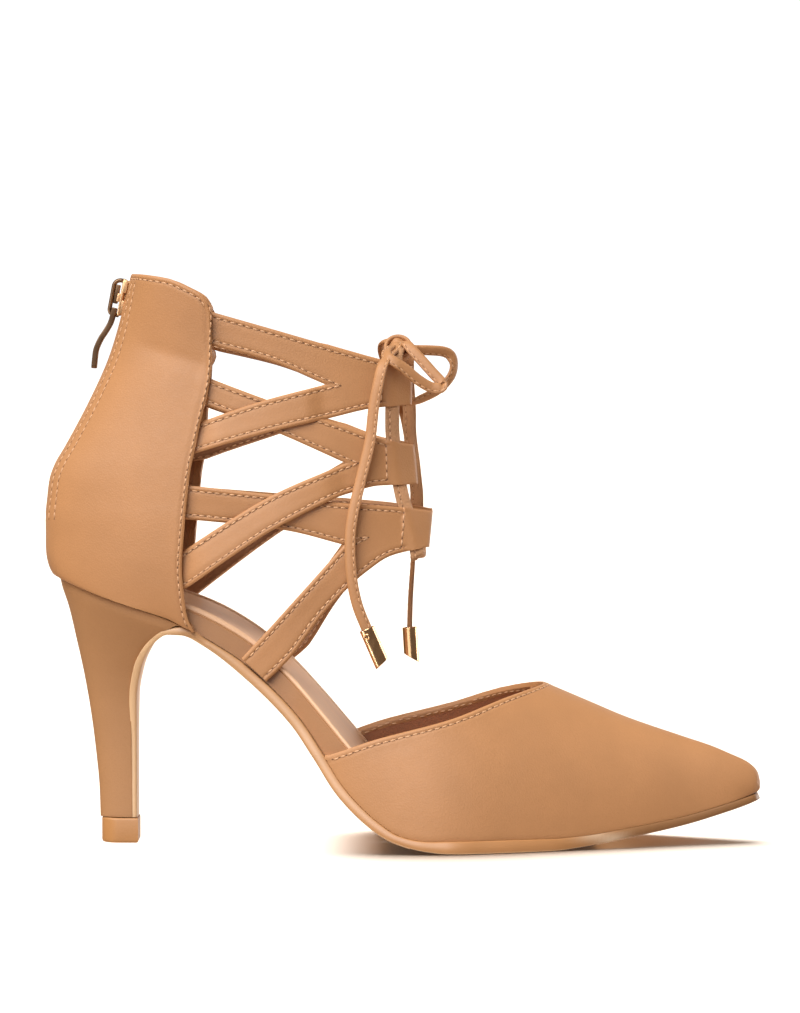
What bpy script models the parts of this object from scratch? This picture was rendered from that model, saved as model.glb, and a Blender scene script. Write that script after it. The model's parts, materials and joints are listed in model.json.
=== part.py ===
"""A high-heeled, lace-up pump with an open waist: a right shoe of about EU size 37 to 38.

Metres, +Z up. +X points to the toe, +Y to the medial side, and the floor is z = 0.
The tables are in millimetres, a row for each section, and MM turns them into metres.
"""

import math

import bmesh
import bpy
import numpy as np
from mathutils import Vector

MM = 0.001

# Driving dimensions, in millimetres.
GAP = 0.3  # between pieces that touch
VAMP_WALL = 1.8
COUNTER_WALL = 2.0
STRAP_THICK = 1.6
STRAP_BURY = 0.3  # how deep a strap is glued into the one that it crosses
SOLE_LEDGE = 0.5  # how far the outsole's edge stands out from the vamp
VAMP_ROUNDNESS = 2.2  # exponent of the vamp's sections
HEEL_ROUNDNESS = 2.25  # exponent of the counter's plan behind its widest place
TUCK_HEIGHT = 9.0  # the counter curls in to the heel over this height
TOE_TIP = 119.9  # front of the vamp
SLOT_WIDTH = 4.6  # of the counter, for the zip
ZIP_FOOT = 111.0
ZIP_HEAD = 188.0
ZIP_THICK = 1.6
ZIP_INSET = 0.6  # how deep the zip lies in the slot
LACE_WIDTH = 3.5
LACE_THICK = 1.5
LACE_STEPS = 19  # sections of the lace in the tabs of one side
CORD_DIAMETER = 2.6  # of the lace's free stretches
CASING_WALL = 1.0
MEDIAL_LACE_SHIFT = 3.5  # the lace sits further forward in the medial tabs
LAP_DEPTH = 0.7  # how much deeper a strap's end lies under the counter
AGLET_DIAMETER = 5.0
PULL_LENGTH = 20.5
PULL_WIDTH = 5.0
PULL_THICK = 1.3
PIVOT = (-96.7, 0.0, 178.4)  # the zip pull's axis runs along Y here
PULL_LEAN = 17.0  # degrees from straight down, away from the shoe


def table(header, *rows):
    """The columns of a table, by the names in its header."""
    return {name: [row[i] for row in rows] for i, name in enumerate(header.split())}


class Curve:
    """A smooth curve through a table's rows that never overshoots them."""

    def __init__(self, places, values):
        order = np.argsort(places)
        self.at = np.array(places, float)[order]
        self.value = np.array(values, float)[order]
        rise = np.diff(self.value) / np.diff(self.at)
        self.slope = np.concatenate([rise[:1], np.zeros(len(rise) - 1), rise[-1:]])
        for i, (before, after) in enumerate(zip(rise, rise[1:]), start=1):
            if before * after > 0:
                self.slope[i] = 2 * before * after / (before + after)

    def __call__(self, place):
        place = float(np.clip(place, self.at[0], self.at[-1]))
        i = int(np.clip(np.searchsorted(self.at, place) - 1, 0, len(self.at) - 2))
        span = self.at[i + 1] - self.at[i]
        s = (place - self.at[i]) / span
        start = (1 + 2 * s) * self.value[i] + s * span * self.slope[i]
        end = (3 - 2 * s) * self.value[i + 1] + (s - 1) * span * self.slope[i + 1]
        return (1 - s) ** 2 * start + s**2 * end


# The outsole from the toe along its lower face, over the waist and down the heel's breast.
OUTSOLE = table(
    "x z lateral medial thick",
    (119.9, 14.3, -0.6, 2.4, 2.0),
    (118.6, 13.7, 1.4, 4.4, 2.2),
    (115.0, 12.4, 3.4, 6.6, 2.5),
    (109.0, 10.6, 5.9, 9.1, 2.7),
    (93.0, 6.5, 11.7, 15.6, 2.9),
    (71.0, 2.7, 20.3, 25.0, 3.3),
    (60.0, 1.0, 24.4, 29.2, 3.7),
    (48.0, 0.0, 28.8, 33.4, 4.2),
    (27.0, 0.0, 35.2, 37.8, 4.4),
    (14.0, 0.0, 38.0, 38.0, 4.4),
    (6.0, 0.0, 38.0, 36.8, 4.3),
    (-3.0, 2.0, 37.0, 34.6, 4.0),
    (-9.0, 6.0, 35.6, 32.6, 3.8),
    (-21.6, 18.4, 31.4, 28.2, 3.4),
    (-30.0, 31.0, 28.0, 25.5, 3.4),
    (-37.4, 41.6, 24.8, 23.4, 3.4),
    (-53.6, 57.6, 22.2, 22.0, 3.4),
    (-66.1, 67.2, 22.0, 22.0, 2.4),
    (-73.7, 70.9, 21.6, 21.6, 1.4),
    (-78.0, 71.0, 20.8, 20.8, 1.3),
    (-82.2, 68.4, 19.0, 19.0, 1.7),
    (-85.2, 64.4, 16.4, 16.4, 2.1),
    (-87.6, 58.6, 12.6, 12.6, 2.4),
    (-89.1, 49.0, 8.4, 8.4, 2.5),
    (-89.2, 32.8, 6.0, 6.0, 2.5),
    (-89.2, 8.6, 5.4, 5.4, 2.5),
)
WAIST_ROW = 18  # the first row of the part that turns down the heel's breast

# Plan of the sole, and where its top face and the heel seat carry the upper.
lateral_edge = Curve(OUTSOLE["x"][:WAIST_ROW], OUTSOLE["lateral"][:WAIST_ROW])
medial_edge = Curve(OUTSOLE["x"][:WAIST_ROW], OUTSOLE["medial"][:WAIST_ROW])
SEAT = table(
    "x z",
    (-115.8, 89.0),
    (-101.5, 83.9),
    (-92.0, 80.7),
    (-83.0, 77.9),
    (-77.5, 76.0),
    (-73.5, 73.9),
)
HEEL = table(
    "back_x back_z breast_x breast_z half",
    (-101.9, 8.6, -92.1, 8.6, 5.6),
    (-102.2, 18.0, -92.1, 18.0, 5.7),
    (-103.5, 32.0, -92.2, 32.0, 6.2),
    (-105.2, 45.0, -92.3, 45.0, 7.3),
    (-107.3, 57.0, -91.6, 55.0, 9.6),
    (-109.9, 69.0, -89.3, 63.0, 13.6),
    (-112.2, 79.0, -84.4, 69.8, 18.8),
    (-114.5, 86.0, -78.4, 72.9, 22.6),
    (-115.4, 88.8, -73.4, 73.8, 23.8),
)
SEAT_WIDE = 24.3  # half the counter's width where it stands on the heel
SEAT_WIDE_X = -80.0
SEAT_BACK_X = -115.8

INSOLE = table(
    "x top inset medial_rise",
    (-113.2, 92.4, 21.4, 0.0),
    (-112.4, 92.3, 15.0, 0.0),
    (-110.0, 91.9, 10.8, 0.0),
    (-105.0, 91.0, 6.4, 0.0),
    (-98.0, 89.6, 3.2, 0.0),
    (-88.0, 87.0, 1.3, 0.2),
    (-71.4, 81.4, 0.8, 1.0),
    (-61.6, 76.9, 1.1, 1.5),
    (-48.3, 68.3, 2.3, 2.1),
    (-37.5, 58.0, 3.2, 2.5),
    (-26.6, 45.7, 3.7, 2.6),
    (-17.2, 34.5, 3.7, 2.4),
    (-8.0, 24.0, 3.6, 1.8),
    (2.0, 15.2, 3.2, 0.9),
    (14.0, 9.8, 2.9, 0.2),
    (28.0, 8.0, 2.8, 0.0),
    (50.0, 8.0, 2.8, 0.0),
    (75.0, 9.8, 2.8, 0.0),
    (95.0, 13.2, 2.8, 0.0),
    (109.0, 16.6, 2.8, 0.0),
)

# The vamp's ridge, and its topline as the side view shows it.
RIDGE = table(
    "x z",
    (119.9, 20.0),
    (119.2, 22.8),
    (118.0, 24.6),
    (115.2, 26.8),
    (110.0, 29.2),
    (103.6, 31.9),
    (93.7, 35.2),
    (75.0, 41.6),
    (61.7, 47.2),
    (47.0, 53.4),
    (35.0, 58.2),
    (20.0, 64.4),
    (0.0, 73.0),
    (-30.0, 88.0),
)
TOPLINE = table(
    "x z",
    (-30.0, 30.6),
    (-25.2, 31.9),
    (-8.9, 37.6),
    (16.1, 44.1),
    (35.2, 50.6),
    (47.0, 53.4),
    (60.0, 55.0),
)

# Level sections of the ankle: the counter's outer face, and the straps' ahead of it.
ANKLE = table(
    "z back wide_x half reach",
    (55.0, -117.0, -50.0, 25.4, 150.0),
    (62.0, -117.8, -52.0, 25.6, 135.0),
    (75.0, -118.9, -55.0, 26.4, 102.0),
    (90.0, -119.8, -58.0, 28.2, 86.0),
    (98.0, -119.9, -59.0, 28.8, 80.5),
    (108.4, -119.9, -60.0, 29.0, 76.5),
    (116.4, -119.2, -61.0, 28.6, 74.6),
    (121.8, -118.5, -61.5, 28.3, 73.8),
    (127.1, -116.6, -62.0, 27.9, 73.2),
    (132.5, -113.4, -62.0, 27.4, 72.8),
    (148.6, -104.8, -62.0, 25.5, 72.6),
    (162.0, -98.7, -62.0, 24.4, 72.2),
    (172.7, -95.3, -62.0, 24.1, 72.0),
    (191.0, -92.2, -62.0, 24.4, 72.0),
)
COUNTER_FRONT = table(
    "z x",
    (72.0, -69.0),
    (77.3, -71.3),
    (84.9, -72.3),
    (93.4, -72.9),
    (102.6, -72.3),
    (113.1, -71.4),
    (123.3, -70.3),
    (133.8, -68.3),
    (141.7, -66.6),
    (155.8, -63.6),
    (164.0, -63.1),
    (177.0, -63.2),
)
COUNTER_TOP = table(
    "share z",
    (0.0, 190.4),
    (0.5, 188.5),
    (0.75, 185.6),
    (0.9, 183.1),
    (0.96, 180.6),
    (1.0, 176.9),
)

# Three Y-shaped straps a side: a row for each section from the counter, or from the sole,
# over the fork at row 3 to the end of the front tab, with the edges of both arms.
EDGES = "up_top_x up_top_z up_low_x up_low_z low_top_x low_top_z low_low_x low_low_z"
FORK_ROW = 3
STRAPS = {
    "top": table(
        EDGES,
        (-71.0, 179.7, -71.0, 168.7, -75.0, 138.4, -75.0, 128.6),
        (-62.9, 177.4, -62.9, 166.4, -66.8, 141.4, -66.8, 131.6),
        (-43.5, 171.9, -44.0, 161.2, -46.3, 148.3, -43.5, 138.2),
        (-25.8, 166.8, -25.8, 153.6, -25.8, 153.6, -25.8, 142.2),
        (-8.5, 162.0, -9.0, 153.4, -9.0, 153.4, -9.5, 145.8),
        (2.8, 159.4, 2.8, 153.2, 2.8, 153.2, 2.6, 146.8),
    ),
    "middle": table(
        EDGES,
        (-72.0, 158.7, -73.6, 150.2, -76.2, 96.4, -76.2, 84.6),
        (-63.9, 155.7, -65.6, 147.0, -71.8, 99.5, -71.8, 86.7),
        (-45.2, 148.7, -41.6, 137.8, -43.9, 117.0, -42.7, 106.1),
        (-19.4, 139.9, -19.1, 127.7, -19.1, 127.7, -18.8, 117.5),
        (-7.6, 135.6, -7.4, 127.2, -7.4, 127.2, -7.2, 120.2),
        (3.4, 133.4, 4.1, 127.0, 4.1, 127.0, 4.7, 120.4),
    ),
    "low": table(
        EDGES,
        (-78.5, 121.4, -79.0, 109.4, -53.5, 63.4, -45.3, 55.7),
        (-70.4, 120.5, -71.2, 109.2, -45.3, 72.2, -37.0, 64.0),
        (-43.9, 117.6, -39.7, 105.8, -34.3, 84.4, -26.2, 78.2),
        (-20.4, 114.6, -19.6, 100.8, -19.6, 100.8, -12.6, 91.6),
        (-3.0, 113.2, -3.4, 105.6, -3.4, 105.6, -3.6, 97.2),
        (9.6, 111.3, 9.0, 105.4, 9.0, 105.4, 8.4, 99.7),
    ),
}
MEDIAL_SHIFT = {  # how far the medial side's arms lie further forward and higher between counter and fork
    ("top", "up"): (0.0, -2.3),
    ("top", "low"): (0.0, -4.2),
    ("middle", "up"): (0.0, -2.5),
    ("middle", "low"): (0.0, -7.0),
    ("low", "up"): (0.0, -2.8),
    ("low", "low"): (5.0, 0.0),
}
SOLE_ARM = ("low", "low")  # this arm ends at the sole, the others under the counter
LIFTED = ("top", "middle")  # the low arm of these lies over the next strap's upper arm
LIFT = table("row share", (0.0, 0.0), (1.0, 0.0), (1.35, 1.0), (2.65, 1.0), (3.0, 0.0), (5.0, 0.0))

# The lace's run through the tabs' casings, seen from the lateral side, and those casings.
LACE_RUN = table(
    "z x",
    (162.4, -2.6),
    (153.0, -2.4),
    (140.0, -2.0),
    (127.0, -0.6),
    (116.0, 1.4),
    (105.5, 4.0),
    (97.2, 4.6),
)
LACE_TOP = ((-2.5, 8.2, 164.2), (-2.0, 5.6, 165.3))  # on to the knot: x, distance from y = 0, and z
CASINGS = ((145.7, 161.4), (119.7, 135.0), (98.3, 113.1))  # low and high z, just past the tabs

# Free stretches of the lace.
KNOT_CENTRE = (-1.8, 0.0, 165.4)
KNOT_RADII = (5.4, 5.2, 5.0)
CORD_ROUTES = {
    "lace_loop_near": (
        (3.3, -2.2, 167.4),
        (7.4, -5.6, 165.4),
        (11.0, -8.0, 160.4),
        (12.8, -9.6, 155.2),
        (11.2, -11.2, 152.0),
        (7.4, -12.4, 153.6),
        (4.2, -12.2, 157.8),
        (2.4, -9.8, 162.0),
        (1.2, -5.3, 165.2),
    ),
    "lace_loop_far": (
        (3.5, 2.0, 167.0),
        (9.0, 5.2, 167.8),
        (14.4, 7.6, 165.6),
        (17.4, 8.8, 160.8),
        (15.4, 8.6, 153.8),
        (9.6, 6.6, 148.8),
        (4.4, 3.8, 147.2),
        (1.0, 1.8, 150.4),
        (-0.6, 0.6, 155.6),
        (-1.4, 0.0, 159.9),
    ),
    "lace_end_near": (
        (-5.4, -4.2, 166.6),
        (-8.6, -10.4, 165.4),
        (-10.4, -16.4, 162.4),
        (-11.0, -18.2, 155.6),
        (-11.7, -19.0, 146.4),
        (-12.6, -19.8, 135.0),
        (-15.2, -21.4, 123.4),
        (-18.0, -23.6, 111.2),
        (-18.9, -24.5, 101.9),
        (-18.2, -24.8, 90.6),
        (-16.4, -24.6, 81.6),
        (-13.6, -24.4, 74.6),
    ),
    "lace_end_far": (
        (-4.6, 4.6, 166.8),
        (-6.2, 9.6, 165.2),
        (-5.4, 15.0, 162.2),
        (-3.4, 16.2, 156.4),
        (-0.8, 15.6, 148.0),
        (1.2, 15.6, 138.0),
        (2.6, 16.0, 127.0),
        (3.6, 17.2, 114.0),
        (3.8, 18.0, 103.0),
        (3.5, 17.8, 93.4),
        (2.8, 17.4, 81.0),
        (2.5, 17.2, 71.3),
    ),
}
AGLETS = {  # the end that each is on, its direction, its length and how much of that its slanting cut takes
    "aglet_near": ("lace_end_near", (0.4, 0.0, -0.917), 13.1, 0.0),
    "aglet_far": ("lace_end_far", (0.06, 0.0, -1.0), 11.9, 0.26),
}

# Colour, roughness and metallic value of each material.
LEATHER = ("tan_leather", (0.61, 0.33, 0.165), 0.55, 0.0)
RUBBER = ("sole_rubber", (0.56, 0.33, 0.17), 0.5, 0.0)
TIP_RUBBER = ("tip_rubber", (0.50, 0.24, 0.10), 0.5, 0.0)
SOCK = ("insole_leather", (0.72, 0.45, 0.30), 0.45, 0.0)
TAPE = ("zip_tape", (0.50, 0.26, 0.13), 0.8, 0.0)
GOLD = ("gold_metal", (0.80, 0.55, 0.22), 0.25, 1.0)
BRONZE = ("bronze_metal", (0.20, 0.14, 0.10), 0.4, 1.0)

ridge_line = Curve(RIDGE["x"], RIDGE["z"])
topline = Curve(TOPLINE["x"], TOPLINE["z"])
insole_top = Curve(INSOLE["x"], INSOLE["top"])
insole_inset = Curve(INSOLE["x"], INSOLE["inset"])
insole_rise = Curve(INSOLE["x"], INSOLE["medial_rise"])
ankle = {name: Curve(ANKLE["z"], ANKLE[name]) for name in ("back", "wide_x", "half", "reach")}
counter_front = Curve(COUNTER_FRONT["z"], COUNTER_FRONT["x"])
counter_top = Curve(COUNTER_TOP["share"], COUNTER_TOP["z"])
strap_lift = Curve(LIFT["row"], LIFT["share"])
lace_x = Curve(LACE_RUN["z"], LACE_RUN["x"])


def sole_path():
    """Curves of the outsole's columns over the distance along its lower face."""
    steps = np.hypot(np.diff(OUTSOLE["x"]), np.diff(OUTSOLE["z"]))
    distance = np.concatenate([[0], np.cumsum(steps)])
    return distance, {name: Curve(distance, values) for name, values in OUTSOLE.items()}


def sole_frame(path, s):
    """A point of the outsole's lower face, and the direction of its upper face from there."""
    step = 0.3
    along = Vector((path["x"](s + step) - path["x"](s - step), path["z"](s + step) - path["z"](s - step)))
    along.normalize()
    return (path["x"](s), path["z"](s)), (along.y, -along.x)


def bed_curve():
    """Height over x of what carries the upper: the outsole's top face, then the heel seat."""
    distance, path = sole_path()
    places, heights = list(SEAT["x"]), list(SEAT["z"])
    for s in np.linspace(0, distance[WAIST_ROW - 1], 60):
        (x, z), (up_x, up_z) = sole_frame(path, s)
        places.append(x + up_x * path["thick"](s))
        heights.append(z + up_z * path["thick"](s))
    return Curve(places, heights)


bed = bed_curve()


def ankle_half(x, z):
    """Half the width of the ankle's outer face at x and z."""
    wide_x = ankle["wide_x"](z)
    if x < wide_x:
        share, power = (wide_x - x) / (wide_x - ankle["back"](z)), HEEL_ROUNDNESS
    else:
        share, power = (x - wide_x) / ankle["reach"](z), 2.0
    return ankle["half"](z) * max(1 - min(share, 1) ** power, 0) ** (1 / power)


def ankle_point(x, z, side, depth):
    """A point at x and z this deep under the ankle's outer face, and the face's normal, on side -1 or 1."""
    step = 0.4
    slope_x = (ankle_half(x + step, z) - ankle_half(x - step, z)) / (2 * step)
    slope_z = (ankle_half(x, z + step) - ankle_half(x, z - step)) / (2 * step)
    tilted = Vector((-slope_x, side, -slope_z))
    half = ankle_half(x, z) - depth * tilted.length
    return Vector((x, side * half, z)), tilted.normalized()


def grid(across, along, place):
    """A sheet whose vertices are put at place(u, v), in millimetres, with u and v from 0 to 1."""
    bm = bmesh.new()
    bmesh.ops.create_grid(bm, x_segments=across, y_segments=along, size=0.5)
    for vert in bm.verts:
        vert.co = Vector(place(vert.co.x + 0.5, vert.co.y + 0.5)) * MM
    return bm


def weld(bm):
    bmesh.ops.remove_doubles(bm, verts=bm.verts, dist=0.001 * MM)


def loft(rings):
    """A closed solid through rings of points, with flat ends."""
    sides, steps = len(rings[0]), len(rings) - 1
    bm = grid(sides, steps, lambda u, v: rings[round(v * steps)][round(u * sides) % sides])
    weld(bm)
    bmesh.ops.holes_fill(bm, edges=[edge for edge in bm.edges if edge.is_boundary])
    bmesh.ops.recalc_face_normals(bm, faces=bm.faces)
    return bm


def face_out(bm, core):
    """Turns an open sheet so that its faces look away from core(centre of a face)."""
    bmesh.ops.recalc_face_normals(bm, faces=bm.faces)
    outward = 0
    for face in bm.faces:
        centre = face.calc_center_median()
        outward += face.normal.dot(centre - core(centre)) * face.calc_area()
    if outward < 0:
        bmesh.ops.reverse_faces(bm, faces=bm.faces)


def material_of(finish):
    name, colour, roughness, metallic = finish
    material = bpy.data.materials.get(name) or bpy.data.materials.new(name)
    material.use_nodes = True
    shader = material.node_tree.nodes["Principled BSDF"].inputs
    shader["Base Color"].default_value = (*colour, 1)
    shader["Roughness"].default_value = roughness
    shader["Metallic"].default_value = metallic
    return material


def put(bm, name, finish):
    """Makes an object of a mesh, shades it smooth and parents it to the shoe."""
    mesh = bpy.data.meshes.new(name)
    bm.to_mesh(mesh)
    bm.free()
    mesh.shade_smooth()
    mesh.set_sharp_from_angle(angle=math.radians(40))
    mesh.materials.append(material_of(finish))
    made = bpy.data.objects.new(name, mesh)
    bpy.context.scene.collection.objects.link(made)
    made.parent = bpy.data.objects["shoe"]
    return made


def helper(bm, name):
    """A hidden solid for a Boolean."""
    made = put(bm, name, LEATHER)
    made.hide_render = True
    made.display_type = "WIRE"
    return made


def thicken(made, wall):
    """Gives a sheet its wall, on the inside."""
    solidify = made.modifiers.new("wall", "SOLIDIFY")
    solidify.thickness = wall * MM
    solidify.offset = -1
    solidify.use_even_offset = True


def combine(made, operation, other):
    boolean = made.modifiers.new(other.name, "BOOLEAN")
    boolean.operation = operation
    boolean.object = other


def outsole():
    """A ribbon along the sole's path, with its lower edges eased."""
    ease = 0.7
    distance, path = sole_path()
    steps = sorted(set(np.linspace(0, distance[-1], 46)) | set(distance))
    rings = []
    for s in steps:
        (x, z), (up_x, up_z) = sole_frame(path, s)
        thick, low, high = path["thick"](s), -path["lateral"](s), path["medial"](s)
        bevel = min(ease, (high - low) / 4)
        section = (
            (low + bevel, 0),
            (high - bevel, 0),
            (high, bevel),
            (high, thick),
            (low, thick),
            (low, bevel),
        )
        rings.append([(x + up_x * h, y, z + up_z * h) for y, h in section])
    put(loft(rings), "outsole", RUBBER)


def heel():
    """Tilted D-shaped sections from the tip to the seat, flat on the breast."""
    sides = 18
    rings = []
    for row in range(len(HEEL["half"])):
        back = Vector((HEEL["back_x"][row], HEEL["back_z"][row]))
        breast = Vector((HEEL["breast_x"][row], HEEL["breast_z"][row]))
        at_seat = row == len(HEEL["half"]) - 1
        ring = []
        for i in range(sides + 1):
            turn = math.pi * (i / sides - 0.5)
            share = 1 - math.cos(turn) ** 0.9
            y = HEEL["half"][row] * math.copysign(abs(math.sin(turn)) ** 0.9, turn)
            x, z = back.lerp(breast, share)
            ring.append((x, y, bed(x) if at_seat else z))
        rings.append(ring)
    put(loft(rings), "heel", LEATHER)


def heel_tip():
    """The top piece under heel and flap: a D-shaped block with eased edges."""
    height, back, front, half, ease = 8.3, -101.4, -88.9, 6.0, 0.5
    sides = 14
    rings = []
    for z, inset in ((0, ease), (ease, 0), (height, 0)):
        ring = [(front - inset, half - inset, z), (front - inset, -half + inset, z)]
        middle = back + half
        for i in range(sides + 1):
            turn = math.pi * i / sides
            reach = half - inset
            ring.append((middle - reach * math.sin(turn), -reach * math.cos(turn), z))
        rings.append(ring)
    put(loft(rings), "heel_tip", TIP_RUBBER)


def insole():
    """The padded footbed: highest on the medial side of the waist, with a rounded upper edge."""
    ease = 1.0
    places = np.linspace(INSOLE["x"][0], INSOLE["x"][-1], 44)
    rings = []
    for x in sorted(set(places) | set(INSOLE["x"])):
        low, high, inset = bed(x) + GAP, insole_top(x), insole_inset(x)
        left, right = -lateral_edge(x) + inset, medial_edge(x) - inset
        bevel = min(ease, (right - left) / 4, (high - low) / 3)
        arch = high + insole_rise(x)
        section = (
            (left, low),
            (right, low),
            (right, arch - bevel),
            (right - bevel, arch),
            (left + bevel, high),
            (left, high - bevel),
        )
        rings.append([(x, y, z) for y, z in section])
    put(loft(rings), "insole", SOCK)


def vamp_point(turn, x):
    """The vamp's outer face at x, turn running from 0 at the lateral edge to pi at the medial."""
    middle = (medial_edge(x) - lateral_edge(x)) / 2
    half = (medial_edge(x) + lateral_edge(x)) / 2 - SOLE_LEDGE if x < TOE_TIP else 0
    foot = bed(x) + GAP
    power = 2 / VAMP_ROUNDNESS
    across, rise = math.cos(turn), max(math.sin(turn), 0)
    y = middle - half * math.copysign(abs(across) ** power, across)
    return x, y, foot + (ridge_line(x) - foot) * rise**power


def throat_x(turn):
    """Where the topline cuts the vamp at this turn, by halving."""
    behind, ahead = TOPLINE["x"][0], TOPLINE["x"][-1]
    for _ in range(30):
        x = (behind + ahead) / 2
        if vamp_point(turn, x)[2] > topline(x):
            behind = x
        else:
            ahead = x
    return ahead


def vamp():
    """The toe box and sides, from the topline to the toe, open underneath."""
    across, along, crowding = 24, 17, 1.7
    throat = [throat_x(math.pi * i / across) for i in range(across + 1)]

    def place(u, v):
        start = throat[round(u * across)]
        share = 1 - (1 - v) ** crowding
        return vamp_point(math.pi * u, start + (TOE_TIP - start) * share)

    bm = grid(across, along, place)
    weld(bm)
    face_out(bm, lambda centre: Vector((centre.x, 0, 0)))
    thicken(put(bm, "vamp", LEATHER), VAMP_WALL)


def seat_half(x):
    share = max(SEAT_WIDE_X - x, 0) / (SEAT_WIDE_X - SEAT_BACK_X)
    return SEAT_WIDE * max(1 - share**HEEL_ROUNDNESS, 0) ** (1 / HEEL_ROUNDNESS)


def counter_point(share, side, rise):
    """The counter's outer face: share from the back to the front edge, rise from foot to top."""
    foot_x = SEAT_BACK_X + (counter_front.value[0] - SEAT_BACK_X) * share
    foot = Vector((foot_x, side * seat_half(foot_x), bed(foot_x) + GAP))
    z = foot.z + (counter_top(share) - foot.z) * rise

    def at(height):
        back = ankle["back"](height)
        x = back + (counter_front(height) - back) * share
        return Vector((x, side * ankle_half(x, height), height))

    tuck = 1 - math.sin(math.pi / 2 * min((z - foot.z) / TUCK_HEIGHT, 1))
    return at(z) + (foot - at(foot.z)) * tuck


def counter():
    """The high back of the upper, in one piece round the heel, slit for the zip."""
    across, up, crowding = 26, 15, 1.25

    def place(u, v):
        round_it = 2 * u - 1
        share = 1 - math.cos(math.pi / 2 * abs(round_it))
        return counter_point(share, math.copysign(1, round_it), v**crowding)

    bm = grid(across, up, place)
    face_out(bm, lambda centre: Vector((-80 * MM, 0, centre.z)))
    made = put(bm, "counter", LEATHER)
    thicken(made, COUNTER_WALL)
    slot = bmesh.new()
    bmesh.ops.create_cube(slot, size=1)
    bmesh.ops.scale(slot, verts=slot.verts, vec=Vector((50, SLOT_WIDTH, 100)) * MM)
    bmesh.ops.translate(slot, verts=slot.verts, vec=Vector((-105, 0, ZIP_FOOT + 50)) * MM)
    combine(made, "DIFFERENCE", helper(slot, "slot_cutter"))


def zip_strip():
    """The closed zip's tape and teeth, lying in the counter's slot."""
    half = SLOT_WIDTH / 2 - GAP
    rings = []
    for z in np.linspace(ZIP_FOOT + GAP, ZIP_HEAD, 18):
        back = ankle["back"](z)
        section = ((0, -half), (0, half), (ZIP_THICK, half), (ZIP_THICK, -half))
        rings.append([(back + ZIP_INSET + depth, y, z) for depth, y in section])
    put(loft(rings), "zip", TAPE)


def box(size, centre, lean):
    """A block, turned about Y by lean degrees, in millimetres."""
    bm = bmesh.new()
    bmesh.ops.create_cube(bm, size=1)
    bmesh.ops.scale(bm, verts=bm.verts, vec=Vector(size) * MM)
    for vert in bm.verts:
        vert.co = turned(vert.co / MM, lean, centre) * MM
    return bm


def turned(point, lean, centre):
    angle = math.radians(lean)
    x, y, z = point
    return Vector(centre) + Vector(
        (x * math.cos(angle) + z * math.sin(angle), y, z * math.cos(angle) - x * math.sin(angle))
    )


def zip_slider():
    """The slider's outer plate with the tall bridge that carries the pull at its lower end."""
    plate, length, width, lean = 1.1, 12.4, 7.0, 10.6
    hole, rim, bridge, tall, corner = 1.15, 1.0, 1.9, 10.0, 1.4
    stand = hole + plate / 2
    bm = box((plate, width, length), turned((stand + 0.1, 0, 4.4), lean, PIVOT), lean)
    bmesh.ops.bevel(
        bm, geom=bm.edges[:], offset=0.5 * MM, segments=1, profile=0.5, affect="EDGES", material=-1
    )
    made = put(bm, "zip_slider", GOLD)
    reach = hole + rim / 2
    route = [(stand, -reach)]
    for i in range(5):
        turn = math.pi / 2 * i / 4
        route.append((-reach * math.sin(turn), -reach * math.cos(turn)))
    for i in range(4):
        turn = math.pi / 2 * i / 3
        route.append((corner * (1 - math.cos(turn)) - reach, tall - corner + corner * math.sin(turn)))
    route.append((stand, tall))
    rings = []
    for i, (x, z) in enumerate(route):
        after = Vector(route[min(i + 1, len(route) - 1)])
        along = (after - Vector(route[max(i - 1, 0)])).normalized()
        out_x, out_z = -along.y * rim / 2, along.x * rim / 2
        corners = ((1, 1), (1, -1), (-1, -1), (-1, 1))
        ring = [(x + out_x * a, b * bridge / 2, z + out_z * a) for a, b in corners]
        rings.append([turned(point, lean, PIVOT) for point in ring])
    combine(made, "UNION", helper(loft(rings), "bridge"))


def zip_pull():
    """A gently waved tab that hangs from the slider's bridge by a bar along Y."""
    bar, window, leg = 0.55, 3.0, 1.2
    wave, steps = 1.0, 18
    rings = []
    for i in range(steps + 1):
        down = -bar + (PULL_LENGTH + bar) * i / steps
        fade = max(down - window, 0) / (PULL_LENGTH - window)
        off = -wave * math.sin(2 * math.pi * fade)
        corners = ((1, 1), (1, -1), (-1, -1), (-1, 1))
        ring = [(off + a * PULL_THICK / 2, b * PULL_WIDTH / 2, -down) for a, b in corners]
        rings.append([turned(point, PULL_LEAN, (0, 0, 0)) for point in ring])
    made = put(loft(rings), "zip_pull", BRONZE)
    made.location = Vector(PIVOT) * MM
    hole = box(
        (PULL_THICK * 4, PULL_WIDTH - 2 * leg, window - bar),
        turned((0, 0, -(window + bar) / 2), PULL_LEAN, (0, 0, 0)),
        PULL_LEAN,
    )
    cutter = helper(hole, "pull_window")
    cutter.location = Vector(PIVOT) * MM
    combine(made, "DIFFERENCE", cutter)


def strap_edge(column, values):
    """An edge of a strap over the table's rows. The two inner edges end in a corner at the fork."""
    if not column.startswith(("up_low", "low_top")):
        return Curve(range(len(values)), values)
    arm = Curve(range(FORK_ROW + 1), values[: FORK_ROW + 1])
    tab = Curve(range(FORK_ROW, len(values)), values[FORK_ROW:])
    return lambda row: arm(row) if row < FORK_ROW else tab(row)


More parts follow.
